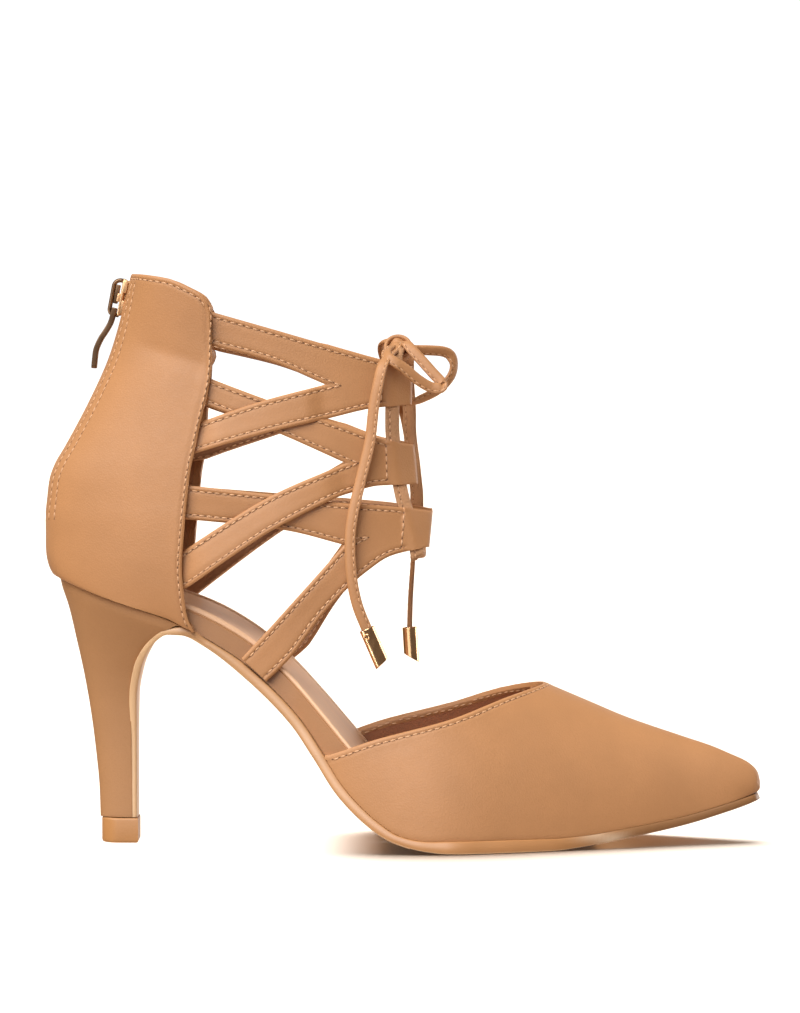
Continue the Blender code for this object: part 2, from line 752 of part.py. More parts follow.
def strap_sheet(name, side):
    """The outer face of one Y-shaped strap, its two arms joined from the fork to the tab."""
    rows = STRAPS[name]
    edge = {column: strap_edge(column, values) for column, values in rows.items()}
    last = len(rows["up_top_x"]) - 1
    steps = 3 * last
    bm = bmesh.new()
    for arm in ("up", "low"):
        shift_x, shift_z = MEDIAL_SHIFT[name, arm] if side > 0 else (0, 0)

        def place(u, v):
            row = round(v * steps) / steps * last
            ends = [
                Vector((edge[f"{arm}_{rim}_x"](row), edge[f"{arm}_{rim}_z"](row)))
                for rim in ("top", "low")
            ]
            x, z = ends[0].lerp(ends[1], u)
            fade = max(1 - (row / FORK_ROW) ** 2, 0) * (1 + min(row, 1)) / 2
            x, z = x + shift_x * fade, z + shift_z * fade
            lift = strap_lift(row) if arm == "low" and name in LIFTED else 0
            depth = COUNTER_WALL + GAP - lift * (STRAP_THICK - STRAP_BURY)
            if (name, arm) != SOLE_ARM:
                depth += LAP_DEPTH * max(1 - row, 0)
            return ankle_point(x, z, side, depth)[0]

        sheet = grid(2, steps, place)
        part = bpy.data.meshes.new(arm)
        sheet.to_mesh(part)
        sheet.free()
        bm.from_mesh(part)
        bpy.data.meshes.remove(part)
    weld(bm)
    face_out(bm, lambda centre: Vector((centre.x, 0, centre.z)))
    return bm


def lace_section(width, thick):
    """Eight corners of a flat cord's section."""
    flat = 0.6
    return (
        (width / 2, -thick * flat / 2),
        (width / 2, thick * flat / 2),
        (width * flat / 2, thick / 2),
        (-width * flat / 2, thick / 2),
        (-width / 2, thick * flat / 2),
        (-width / 2, -thick * flat / 2),
        (-width * flat / 2, -thick / 2),
        (width * flat / 2, -thick / 2),
    )


def sweep(stations, width, thick, level=False):
    """A flat cord through (point, normal) stations, its flat side facing the normal.

    Its sections are square to its path, or level.
    """
    rings = []
    for i, (point, normal) in enumerate(stations):
        after = stations[min(i + 1, len(stations) - 1)][0]
        along = after - stations[max(i - 1, 0)][0]
        along = Vector((0, 0, -1)) if level else along.normalized()
        wide = along.cross(normal).normalized()
        up = wide.cross(along)
        rings.append([point + wide * a + up * b for a, b in lace_section(width, thick)])
    return loft(rings)


def lace_station(z, side):
    """The lace's middle at this height, inside the tabs of one side."""
    shift = MEDIAL_LACE_SHIFT if side > 0 else 0
    depth = COUNTER_WALL + GAP + STRAP_THICK / 2
    return ankle_point(lace_x(z) + shift, z, side, depth)


def ankle_straps(name, side):
    """Three Y-straps of one side joined where they cross, with the lace's casings in their tabs."""
    made = None
    for strap in STRAPS:
        sheet = strap_sheet(strap, side)
        if made is None:
            made = put(sheet, name, LEATHER)
            thicken(made, STRAP_THICK)
        else:
            other = helper(sheet, f"{name}_{strap}")
            thicken(other, STRAP_THICK)
            combine(made, "UNION", other)
    wide, deep = LACE_WIDTH + 2 * GAP, LACE_THICK + 2 * GAP
    for low, high in CASINGS:
        stations = [lace_station(z, side) for z in np.linspace(high, low, 5)]
        sleeve = sweep(stations, wide + 2 * CASING_WALL, deep + 2 * CASING_WALL, level=True)
        combine(made, "UNION", helper(sleeve, f"{name}_casing_{round(low)}"))
    stations = [lace_station(z, side) for z in np.linspace(LACE_RUN["z"][0], LACE_RUN["z"][-1], LACE_STEPS)]
    combine(made, "DIFFERENCE", helper(sweep(stations, wide, deep), f"{name}_channel"))


def lace():
    """The lace down through the lateral tabs, across the front and up the medial ones."""
    heights = np.linspace(LACE_RUN["z"][0], LACE_RUN["z"][-1], LACE_STEPS)

    def to_knot(side):
        return [(Vector((x, side * y, z)), Vector((0, 0, 1))) for x, y, z in LACE_TOP]

    stations = to_knot(-1)[::-1] + [lace_station(z, -1) for z in heights]
    low, high = stations[-1][0], lace_station(heights[-1], 1)[0]
    turns, dip = 8, 2.4
    for i in range(1, turns):
        share = i / turns
        bend = math.sin(math.pi * share)
        point = low.lerp(high, (1 - math.cos(math.pi * share)) / 2)
        point.z -= dip * bend**0.6
        stations.append((point, Vector((1, 0.9 * (2 * share - 1), 0)).normalized()))
    stations += [lace_station(z, 1) for z in heights[::-1]] + to_knot(1)
    put(sweep(stations, LACE_WIDTH, LACE_THICK), "lace", LEATHER)


def smooth_route(points):
    """Points along a smooth curve through a route, two to three diameters apart."""
    points = [np.array(point, float) for point in points]
    steps = [np.linalg.norm(b - a) for a, b in zip(points, points[1:])]
    distance = np.concatenate([[0], np.cumsum(steps)])
    curves = [Curve(distance, [point[axis] for point in points]) for axis in range(3)]
    count = max(round(distance[-1] / (1.6 * CORD_DIAMETER)), 8)
    return [Vector([curve(s) for curve in curves]) for s in np.linspace(0, distance[-1], count)]


def cord(name):
    """A free stretch of the lace as a plain tube."""
    curve = bpy.data.curves.new(name, "CURVE")
    curve.dimensions = "3D"
    curve.bevel_depth = CORD_DIAMETER / 2 * MM
    curve.bevel_resolution = 2
    curve.use_fill_caps = True
    points = smooth_route(CORD_ROUTES[name])
    spline = curve.splines.new("POLY")
    spline.points.add(len(points) - 1)
    for place, point in zip(spline.points, points):
        place.co = (*point * MM, 1)
    curve.materials.append(material_of(LEATHER))
    made = bpy.data.objects.new(name, curve)
    bpy.context.scene.collection.objects.link(made)
    made.parent = bpy.data.objects["shoe"]


def aglet(name):
    """A metal tip that follows on from a lace end."""
    cord_name, direction, length, slant = AGLETS[name]
    start, along = Vector(CORD_ROUTES[cord_name][-1]), Vector(direction).normalized()
    wide = along.cross(Vector((0, 1, 0))).normalized()
    up = along.cross(wide)
    sides = 14
    rings = []
    for share, scale in ((0, 0.86), (0.05, 1.0), (0.5, 1.0), (1, 1.0)):
        ring = []
        for i in range(sides):
            turn = 2 * math.pi * i / sides
            cut = slant * (1 + math.cos(turn)) / 2 if share == 1 else 0
            middle = start + along * (2 * GAP + length * (share - cut))
            ring.append(middle + (wide * math.cos(turn) + up * math.sin(turn)) * AGLET_DIAMETER / 2 * scale)
        rings.append(ring)
    put(loft(rings), name, GOLD)


def lace_knot():
    """The bow's knot as one rounded lump."""
    bm = bmesh.new()
    bmesh.ops.create_icosphere(bm, subdivisions=2, radius=1)
    bmesh.ops.scale(bm, verts=bm.verts, vec=Vector(KNOT_RADII) * MM)
    bmesh.ops.translate(bm, verts=bm.verts, vec=Vector(KNOT_CENTRE) * MM)
    put(bm, "lace_knot", LEATHER)


def main():
    for old in list(bpy.data.objects):
        bpy.data.objects.remove(old)
    shoe = bpy.data.objects.new("shoe", None)
    bpy.context.scene.collection.objects.link(shoe)
    outsole()
    heel()
    heel_tip()
    insole()
    vamp()
    counter()
    zip_strip()
    zip_slider()
    zip_pull()
    ankle_straps("ankle_straps_outer", -1)
    ankle_straps("ankle_straps_inner", 1)
    lace()
    lace_knot()
    for name in CORD_ROUTES:
        cord(name)
    for name in AGLETS:
        aglet(name)


main()
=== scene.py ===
import bisect
import json
import math
import random

import bmesh
import bpy
import numpy as np
from mathutils import Matrix, Vector
from mathutils.bvhtree import BVHTree
from mathutils.kdtree import KDTree

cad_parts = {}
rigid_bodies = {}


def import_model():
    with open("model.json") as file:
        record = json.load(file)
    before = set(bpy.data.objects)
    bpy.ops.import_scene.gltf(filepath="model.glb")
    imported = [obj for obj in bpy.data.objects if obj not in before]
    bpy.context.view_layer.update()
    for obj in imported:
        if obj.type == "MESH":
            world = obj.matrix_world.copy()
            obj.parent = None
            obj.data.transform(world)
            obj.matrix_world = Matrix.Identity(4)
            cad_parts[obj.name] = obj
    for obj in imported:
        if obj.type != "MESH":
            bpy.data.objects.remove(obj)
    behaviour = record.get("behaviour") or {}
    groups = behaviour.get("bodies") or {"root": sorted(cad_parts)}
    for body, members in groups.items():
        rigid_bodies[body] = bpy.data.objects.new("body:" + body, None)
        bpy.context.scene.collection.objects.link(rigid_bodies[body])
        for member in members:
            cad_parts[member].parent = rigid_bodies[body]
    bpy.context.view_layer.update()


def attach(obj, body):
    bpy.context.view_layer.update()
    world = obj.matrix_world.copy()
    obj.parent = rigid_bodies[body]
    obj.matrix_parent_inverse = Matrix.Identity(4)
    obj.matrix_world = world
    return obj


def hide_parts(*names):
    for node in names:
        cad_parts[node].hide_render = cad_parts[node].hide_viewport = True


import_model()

random.seed(11)
mm = 0.001  # the sizes below are in millimetres
scene = bpy.context.scene

cameraSet = {"at": (-1.26, -1300.0, 168.0), "aim": (-1.26, 0.0, 112.5), "lens": 138.0, "sensor": 36.0}


def makeCamera():
    data = bpy.data.cameras.new("camera")
    data.lens = cameraSet["lens"]
    data.sensor_width = cameraSet["sensor"]
    data.clip_start, data.clip_end = 0.05, 30.0
    camera = bpy.data.objects.new("camera", data)
    at, aim = Vector(cameraSet["at"]) * mm, Vector(cameraSet["aim"]) * mm
    camera.location = at
    camera.rotation_euler = (aim - at).to_track_quat("-Z", "Y").to_euler()
    scene.collection.objects.link(camera)
    scene.camera = camera


makeCamera()


# tables and curves
def columns(header, *rows):
    return {name: [row[i] for row in rows] for i, name in enumerate(header.split())}


def smoothLine(places, values):
    # a smooth curve through a table's rows that never overshoots them
    order = np.argsort(places)
    at = [float(places[i]) for i in order]
    value = [float(values[i]) for i in order]
    rise = [(value[i + 1] - value[i]) / (at[i + 1] - at[i]) for i in range(len(at) - 1)]
    slope = [rise[0]] + [0.0] * (len(rise) - 1) + [rise[-1]]
    for i in range(1, len(rise)):
        before, after = rise[i - 1], rise[i]
        if before * after > 0:
            slope[i] = 2 * before * after / (before + after)

    def line(place):
        place = min(max(place, at[0]), at[-1])
        i = min(max(bisect.bisect_left(at, place) - 1, 0), len(at) - 2)
        span = at[i + 1] - at[i]
        s = (place - at[i]) / span
        start = (1 + 2 * s) * value[i] + s * span * slope[i]
        end = (3 - 2 * s) * value[i + 1] + (s - 1) * span * slope[i + 1]
        return (1 - s) ** 2 * start + s**2 * end

    return line


def curveOf(rows):
    # the curve of a table's second column over its first
    return smoothLine(*rows.values())


def curvesOf(rows):
    # a curve for each further column, over the first
    first, *others = rows
    return {name: smoothLine(rows[first], rows[name]) for name in others}


def hump(value, middle, spread):
    return math.exp(-(((value - middle) / spread) ** 2))


def easeIn(value, low, high):
    share = min(max((value - low) / (high - low), 0.0), 1.0)
    return share * share * (3 - 2 * share)


def resample(points, step):
    # the same line again, in even steps
    line = np.array([tuple(p) for p in points], float)
    along = np.concatenate([[0], np.cumsum(np.linalg.norm(np.diff(line, axis=0), axis=1))])
    count = max(int(math.ceil(along[-1] / step)), 2)
    at = np.linspace(0, along[-1], count + 1)
    return [Vector([float(np.interp(a, along, line[:, k])) for k in range(3)]) for a in at]


def lengthOf(points):
    return sum((b - a).length for a, b in zip(points, points[1:]))


# mesh helpers
def gridSheet(across, along, place):
    # a sheet whose vertex i, j stands at place(i, j)
    bm = bmesh.new()
    bmesh.ops.create_grid(bm, x_segments=across, y_segments=along, size=0.5)
    for vert in bm.verts:
        i, j = round((vert.co.x + 0.5) * across), round((vert.co.y + 0.5) * along)
        vert.co = Vector(place(i, j)) * mm
    return bm


def weld(bm, within=0.002):
    bmesh.ops.remove_doubles(bm, verts=bm.verts, dist=within * mm)


def loft(rings):
    # a closed solid through rings of points
    sides, steps = len(rings[0]), len(rings) - 1
    bm = gridSheet(sides, steps, lambda i, j: rings[j][i % sides])
    weld(bm)
    bmesh.ops.holes_fill(bm, edges=[edge for edge in bm.edges if edge.is_boundary])
    bmesh.ops.recalc_face_normals(bm, faces=bm.faces)
    return bm


def faceOut(bm, core):
    bmesh.ops.recalc_face_normals(bm, faces=bm.faces)
    outward = 0
    for face in bm.faces:
        centre = face.calc_center_median()
        outward += face.normal.dot(centre - core(centre)) * face.calc_area()
    if outward < 0:
        bmesh.ops.reverse_faces(bm, faces=bm.faces)


def treeOf(points):
    tree = KDTree(len(points))
    for i, point in enumerate(points):
        tree.insert(Vector(point) * mm, i)
    tree.balance()
    return tree


def finishPiece(bm, name, materials, replaces=(), body="shoe", sharp=None):
    mesh = bpy.data.meshes.new(name)
    bm.to_mesh(mesh)
    bm.free()
    return dressMesh(mesh, name, materials, replaces, body, sharp)


def dressMesh(mesh, name, materials, replaces=(), body="shoe", sharp=None):
    mesh.shade_smooth()
    if sharp:
        mesh.set_sharp_from_angle(angle=math.radians(sharp))
    for material in materials:
        mesh.materials.append(material)
    made = bpy.data.objects.new(name, mesh)
    scene.collection.objects.link(made)
    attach(made, body)
    if replaces:
        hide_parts(*replaces)
    return made


def addWall(made, wall, liningOffset=0, group=None):
    solidify = made.modifiers.new("wall", "SOLIDIFY")
    solidify.thickness = wall * mm
    solidify.offset = -1
    solidify.material_offset = liningOffset
    if group:
        solidify.vertex_group = group


def addBevel(made, width, segments=3, angle=50):
    bevel = made.modifiers.new("soft edges", "BEVEL")
    bevel.width = width * mm
    bevel.segments = segments
    bevel.limit_method = "ANGLE"
    bevel.angle_limit = math.radians(angle)
    bevel.profile = 0.5
    bevel.use_clamp_overlap = True


# the relief that sewing leaves beside an edge: rolled rim, puffed lip, groove at the thread
seamSet = {"from edge": 1.7, "period": 2.5, "groove": 0.14, "lip": 0.11, "roll": 0.42}


def sewnRelief(away, seam=seamSet["from edge"]):
    roll = -seamSet["roll"] * max(1 - away / 0.75, 0) ** 2
    lip = seamSet["lip"] * hump(away, 0.85, 0.5)
    groove = -seamSet["groove"] * hump(away, seam, 0.36)
    return roll + lip + groove + 0.05 * hump(away, seam + 1.1, 0.7)


def pressRelief(bm, edges, extra=None, plain=None):
    # pushes the sheet in and out along its normals, and keeps the groove and rim as masks for the finish's
    # painted shade in the groove and painted highlight on the rim
    tree = treeOf(edges)
    groove = bm.verts.layers.float.new("groove")
    rim = bm.verts.layers.float.new("rim")
    bm.normal_update()
    moves = []
    for vert in bm.verts:
        away = tree.find(vert.co)[2] / mm
        push = sewnRelief(away)
        # groove: where shade is painted; rim: where a highlight is painted
        vert[groove] = hump(away, seamSet["from edge"], 0.42)
        vert[rim] = max(1 - away / 1.2, 0)
        if plain:  # a folded end has no thread, so only its edge is soft
            sewnShare = 1 - plain(vert.co / mm)
            push = push * sewnShare - 0.25 * (1 - sewnShare) * max(1 - away / 0.6, 0) ** 2
            vert[groove] *= sewnShare
        if extra:
            push += extra(vert.co / mm, away)
        moves.append(vert.co + vert.normal * push * mm)
    for vert, place in zip(bm.verts, moves):
        vert.co = place
    bm.normal_update()
    return tree


# thread: one stitch and one needle hole, a flat dark disc painted as the shade in the hole, copied along the
# rows into one joined mesh
stitchSet = {"half": (0.96, 0.34, 0.25), "hole": (0.36, 0.26, 0.07), "sides": 6, "rings": 4}


def stitchShapes():
    shapes = []
    for key in ("half", "hole"):
        bm = bmesh.new()
        sides, rings = stitchSet["sides"], stitchSet["rings"]
        bmesh.ops.create_uvsphere(bm, u_segments=sides, v_segments=rings, radius=1.0)
        bmesh.ops.rotate(bm, verts=bm.verts, cent=(0, 0, 0), matrix=Matrix.Rotation(math.pi / 2, 3, "Y"))
        bmesh.ops.scale(bm, verts=bm.verts, vec=Vector(stitchSet[key]) * mm)
        bm.verts.index_update()
        points = np.array([vert.co for vert in bm.verts], float)
        faces = [[vert.index for vert in face.verts] for face in bm.faces]
        shapes.append((points, faces))
        bm.free()
    return shapes


stitchShape, holeShadeShape = stitchShapes()


def frameAt(place, ahead, normal):
    ahead = (ahead - normal * ahead.dot(normal)).normalized()
    side = normal.cross(ahead)
    return Matrix((ahead, side, normal)).transposed(), place


def sewRow(rows, surface, route, period=seamSet["period"], lift=0.05, inside=0.0, scale=1.0):
    # stitches along a route in millimetres, laid on a surface, or on its inner face
    route = resample(route, 0.2)
    along = np.concatenate([[0], np.cumsum([(b - a).length for a, b in zip(route, route[1:])])])
    line = np.array([tuple(p) for p in route])

    def at(s):
        return Vector([float(np.interp(s, along, line[:, k])) for k in range(3)])

    count = max(round(along[-1] / period), 1)
    step = along[-1] / count
    for i in range(count * 2 + 1):
        s = i * step / 2
        ahead = at(min(s + 0.4, along[-1])) - at(max(s - 0.4, 0))
        found = surface.find_nearest(at(s) * mm)
        place, normal = found[0], found[1]
        if inside:
            place, normal = place - normal * inside * mm, -normal
        wobble = random.uniform(-0.05, 0.05)
        side = normal.cross(ahead).normalized()
        if i % 2:
            ahead = ahead.normalized() + side * random.uniform(-0.12, 0.12)
            above = place + (normal * lift + side * wobble) * mm
            rows["stitch"].append((*frameAt(above, ahead, normal), scale))
        else:
            rows["hole"].append((*frameAt(place + normal * lift * 0.4 * mm, ahead, normal), scale))


def sewn(rows, name):
    points, faces, finish = [], [], []
    for key, (shape, shapeFaces), index in (("stitch", stitchShape, 0), ("hole", holeShadeShape, 1)):
        for turn, place, scale in rows[key]:
            base = sum(map(len, points))
            points.append(shape * scale @ np.array(turn).T + np.array(place))
            faces += [[base + i for i in face] for face in shapeFaces]
            finish += [index] * len(shapeFaces)
    mesh = bpy.data.meshes.new(name)
    mesh.from_pydata(np.concatenate(points), [], faces)
    mesh.polygons.foreach_set("material_index", finish)
    mesh.update()
    dressMesh(mesh, name, [finishes["thread"], finishes["hole"]])


def newRows():
    return {"stitch": [], "hole": []}


# finishes
leatherSet = {
    "tan": (0.428, 0.202, 0.081),
    "heel": (0.365, 0.178, 0.072),
    # footbed wall: the tan darkened, painted shade of the straps over it
    "wall": (0.355, 0.172, 0.074),
    "lining": (0.31, 0.118, 0.05),
    "strapLining": (0.37, 0.175, 0.080),
    "sock": (0.68, 0.40, 0.235),
    # footbed lip: a paler copy, a painted highlight on the ridge's top
    "lip": (0.70, 0.43, 0.26),
    "sole": (0.41, 0.185, 0.062),
    # painted highlight: the sole edge as lit by the floor's bounce, on its down-facing bevel, along the arch
    # and on the heel flap
    "solePaintedBounce": (0.76, 0.52, 0.30),
    # the lace's back side, darker than its face, and darker still as painted shade inside the tabs
    "laceBackAndShade": (0.48, 0.25, 0.12),
    # painted shade: a guessed tread under the ball, near black so it throws no light into the floor's contact
    # shadow
    "tread_and_shade": (0.05, 0.026, 0.015),
    "tip": (0.42, 0.195, 0.066),
    "tape": (0.36, 0.175, 0.082),
    "gold": (0.76, 0.48, 0.26),
    "bronze": (0.19, 0.115, 0.068),
    "thread": (0.57, 0.315, 0.16),
    # needle holes: painted shade
    "hole": (0.15, 0.068, 0.03),
}


def newMaterial(name, colour, roughness, metallic=0.0):
    material = bpy.data.materials.new(name)
    material.use_nodes = True
    shader = material.node_tree.nodes["Principled BSDF"]
    shader.inputs["Base Color"].default_value = (*colour, 1)
    shader.inputs["Roughness"].default_value = roughness
    shader.inputs["Metallic"].default_value = metallic
    return material, material.node_tree, shader


def noiseNode(tree, scale, detail, stretch=(1, 1, 1)):
    coords = tree.nodes.new("ShaderNodeTexCoord")
    mapping = tree.nodes.new("ShaderNodeMapping")
    mapping.inputs["Scale"].default_value = stretch
    noise = tree.nodes.new("ShaderNodeTexNoise")
    noise.inputs["Scale"].default_value = scale
    noise.inputs["Detail"].default_value = detail
    tree.links.new(coords.outputs["Object"], mapping.inputs["Vector"])
    tree.links.new(mapping.outputs["Vector"], noise.inputs["Vector"])
    return noise.outputs["Fac"]


def ramp(tree, value, low, high, fromLow=0.0, fromHigh=1.0):
    node = tree.nodes.new("ShaderNodeMapRange")
    node.inputs["From Min"].default_value = fromLow
    node.inputs["From Max"].default_value = fromHigh
    node.inputs["To Min"].default_value = low
    node.inputs["To Max"].default_value = high
    tree.links.new(value, node.inputs["Value"])
    return node.outputs["Result"]


def mixColour(tree, share, first, second, blend="MIX"):
    node = tree.nodes.new("ShaderNodeMix")
    node.data_type = "RGBA"
    node.blend_type = blend
    for socket, value in ((node.inputs[0], share), (node.inputs[6], first), (node.inputs[7], second)):
        if isinstance(value, (int, float)):
            socket.default_value = value
        elif isinstance(value, tuple):
            socket.default_value = (*value, 1)
        else:
            tree.links.new(value, socket)
    return node.outputs[2]


def paint(tree, shader, tone):
    tree.links.new(tone, shader.inputs["Base Color"])


def textureNode(tree, kind, scale):
    # a texture in the piece's own space
    node = tree.nodes.new(kind)
    node.inputs["Scale"].default_value = scale
    coords = tree.nodes.new("ShaderNodeTexCoord")
    tree.links.new(coords.outputs["Object"], node.inputs["Vector"])
    return node


def attributeOf(tree, name):
    node = tree.nodes.new("ShaderNodeAttribute")
    node.attribute_name = name
    return node.outputs["Fac"]


def addBump(tree, shader, height, strength, distance, under=None):
    bump = tree.nodes.new("ShaderNodeBump")
    bump.inputs["Strength"].default_value = strength
    bump.inputs["Distance"].default_value = distance * mm
    tree.links.new(height, bump.inputs["Height"])
    if under:
        tree.links.new(under, bump.inputs["Normal"])
    tree.links.new(bump.outputs["Normal"], shader.inputs["Normal"])
    return bump.outputs["Normal"]


def shade(colour, by):
    return tuple(min(c * by, 1.0) for c in colour)


def leatherFinish(name, colour, roughness=0.56, grain=1.0, mottle=0.05):
    # matt coated leather: fine pebbled grain, faint clouds, painted shade in the thread grooves, a painted
    # highlight along the rolled rims
    material, tree, shader = newMaterial(name, colour, roughness)
    clouds = ramp(tree, noiseNode(tree, 60, 3), 0, 1, 0.3, 0.7)
    tone = mixColour(tree, clouds, shade(colour, 1 - mottle), shade(colour, 1 + mottle))
    specks = ramp(tree, noiseNode(tree, 1500, 2), 0, 0.5, 0.45, 0.75)
    tone = mixColour(tree, specks, tone, shade(colour, 0.93))
    # painted shade: the thread grooves darker
    groove = ramp(tree, attributeOf(tree, "groove"), 0, 0.55)
    tone = mixColour(tree, groove, tone, shade(colour, 0.78))
    # painted highlight: the rolled rims by the edges paler
    rim = ramp(tree, attributeOf(tree, "rim"), 0, 0.3)
    tone = mixColour(tree, rim, tone, shade(colour, 1.16))
    paint(tree, shader, tone)
    rubbed = ramp(tree, noiseNode(tree, 420, 3), roughness - 0.06, roughness + 0.08)
    tree.links.new(rubbed, shader.inputs["Roughness"])
    pebbles = textureNode(tree, "ShaderNodeTexVoronoi", 1700)
    soft = addBump(tree, shader, noiseNode(tree, 260, 4), 0.2 * grain, 0.3)
    addBump(tree, shader, pebbles.outputs["Distance"], 0.3 * grain, 0.14, soft)
    shader.inputs["Specular IOR Level"].default_value = 0.34
    return material


def sockFinish():
    # satin lining with painted sheen in faint lengthwise streaks
    colour = leatherSet["sock"]
    material, tree, shader = newMaterial("sock satin", colour, 0.55)
    sheen_streaks = ramp(tree, noiseNode(tree, 90, 3, (0.12, 3.0, 0.12)), 0, 1, 0.3, 0.7)
    # painted sheen: lengthwise streaks a little lighter and darker
    tone = mixColour(tree, sheen_streaks, shade(colour, 0.97), shade(colour, 1.04))
    paint(tree, shader, tone)
    tree.links.new(ramp(tree, sheen_streaks, 0.5, 0.57), shader.inputs["Roughness"])
    addBump(tree, shader, noiseNode(tree, 900, 3, (0.4, 2.0, 0.4)), 0.12, 0.08)
    shader.inputs["Specular IOR Level"].default_value = 0.12
    return material


def soleFinish():
    # moulded sole: satin side, a painted highlight from the floor's bounce on the lower bevel, along the arch
    # and on the heel's flap, painted shade darkening towards the toe, a rubbed smear of glue
    colour, painted_bounce_light = leatherSet["sole"], leatherSet["solePaintedBounce"]
    material, tree, shader = newMaterial("sole edge", colour, 0.46)
    clouds = ramp(tree, noiseNode(tree, 70, 3, (1, 1, 2)), 0, 1, 0.3, 0.7)
    tone = mixColour(tree, clouds, shade(colour, 0.93), shade(colour, 1.06))
    # painted highlight on the faces lit by the floor's bounce
    tone = mixColour(tree, ramp(tree, attributeOf(tree, "painted_bounce_light"), 0, 0.75), tone, painted_bounce_light)
    # painted shade, darker towards the toe
    tone = mixColour(tree, ramp(tree, attributeOf(tree, "toe_painted_shade"), 0, 0.6), tone, shade(colour, 0.28))
    tone = mixColour(tree, ramp(tree, attributeOf(tree, "smear"), 0, 0.7), tone, (0.86, 0.70, 0.52))
    paint(tree, shader, tone)
    addBump(tree, shader, noiseNode(tree, 500, 3, (0.3, 1, 2.5)), 0.12, 0.15)
    return material


def tapeFinish():
    # woven zip tape
    colour = leatherSet["tape"]
    material, tree, shader = newMaterial("zip tape", colour, 0.8)
    weave = textureNode(tree, "ShaderNodeTexWave", 900)
    weave.inputs["Distortion"].default_value = 1.5
    weave.bands_direction = "DIAGONAL"
    tone = mixColour(tree, weave.outputs["Fac"], shade(colour, 0.8), shade(colour, 1.15))
    paint(tree, shader, tone)
    addBump(tree, shader, weave.outputs["Fac"], 0.3, 0.12)
    return material


def metalFinish(name, colour, roughness, scratch):
    # plated metal with faint rubbing marks
    material, tree, shader = newMaterial(name, colour, roughness, 1.0)
    rubbed = noiseNode(tree, 700, 3, (1, 1, 0.3))
    tone = mixColour(tree, ramp(tree, rubbed, 0, 1, 0.35, 0.7), shade(colour, 0.88), shade(colour, 1.06))
    paint(tree, shader, tone)
    tree.links.new(ramp(tree, rubbed, roughness - 0.05, roughness + 0.1), shader.inputs["Roughness"])
    addBump(tree, shader, noiseNode(tree, 300, 2), scratch, 0.1)
    shader.inputs["Specular Tint"].default_value = (*(c / max(colour) for c in colour), 1)
    return material


def threadFinish():
    colour = leatherSet["thread"]
    material, tree, shader = newMaterial("thread", colour, 0.55)
    twist = noiseNode(tree, 2200, 2)
    tone = mixColour(tree, ramp(tree, twist, 0, 1, 0.35, 0.65), shade(colour, 0.82), shade(colour, 1.1))
    paint(tree, shader, tone)
    return material


def holeShadeFinish():
    # painted shade: the needle hole's dark, on a flat disc in place of a hollow
    colour = leatherSet["hole"]
    material, tree, shader = newMaterial("needle hole", colour, 0.9)
    tone = mixColour(tree, noiseNode(tree, 800, 2), shade(colour, 0.7), shade(colour, 1.5))
    paint(tree, shader, tone)
    return material


finishes = {
    "tan": leatherFinish("tan leather", leatherSet["tan"]),
    "wall": leatherFinish("footbed wall leather", leatherSet["wall"]),
    "heel": leatherFinish("heel leather", leatherSet["heel"], 0.66, 0.8, 0.035),
    "lining": leatherFinish("brown lining", leatherSet["lining"], 0.7, 1.4, 0.08),
    "strapLining": leatherFinish("strap lining", leatherSet["strapLining"], 0.66, 1.2, 0.06),
    "laceBackAndShade": leatherFinish("lace in the tabs", leatherSet["laceBackAndShade"], 0.75, 2.5, 0.2),
    "lip": leatherFinish("footbed lip", leatherSet["lip"], 0.5, 0.8, 0.05),
    "sock": sockFinish(),
    "sole": soleFinish(),
    "tread_and_shade": leatherFinish("forefoot tread", leatherSet["tread_and_shade"], 0.8, 2.0, 0.1),
    "tip": leatherFinish("heel tip", leatherSet["tip"], 0.45, 0.6, 0.05),
    "tape": tapeFinish(),
    "gold": metalFinish("gold plate", leatherSet["gold"], 0.18, 0.05),
    "sliderGold": metalFinish("slider gold", leatherSet["gold"], 0.42, 0.05),
    "bronze": metalFinish("bronze plate", leatherSet["bronze"], 0.45, 0.06),
    "thread": threadFinish(),
    "hole": holeShadeFinish(),
}
print("finishes made")


def leatherShell(bm, name, node, lining, wall, edge, group=None):
    # leather outside and lining inside, with a band of leather turned in along the edge
    tan = finishes["tan"]
    piece = finishPiece(bm, name, [tan, tan, finishes[lining], tan], [node])
    if group:
        piece.vertex_groups.new(name=group)
    addWall(piece, wall, 2, group)
    addBevel(piece, edge)


# the lace's free ends and the bow, folded strips sewn along one edge
laceSet = {
    "width": 3.6,
    "seamAt": -1.12,  # across the strip, from its middle
    "seamLift": 0.03,
    "seamScale": 0.82,
    "period": 2.3,
    "outline": columns(  # half of the section, from the sewn edge to the fold
        "across high",
        (-1.8, 0.28),
        (-1.52, 0.52),
        (-1.12, 0.42),
        (-0.7, 0.6),
        (0.0, 0.75),
        (0.9, 0.74),
        (1.45, 0.58),
        (1.76, 0.24),
    ),
}

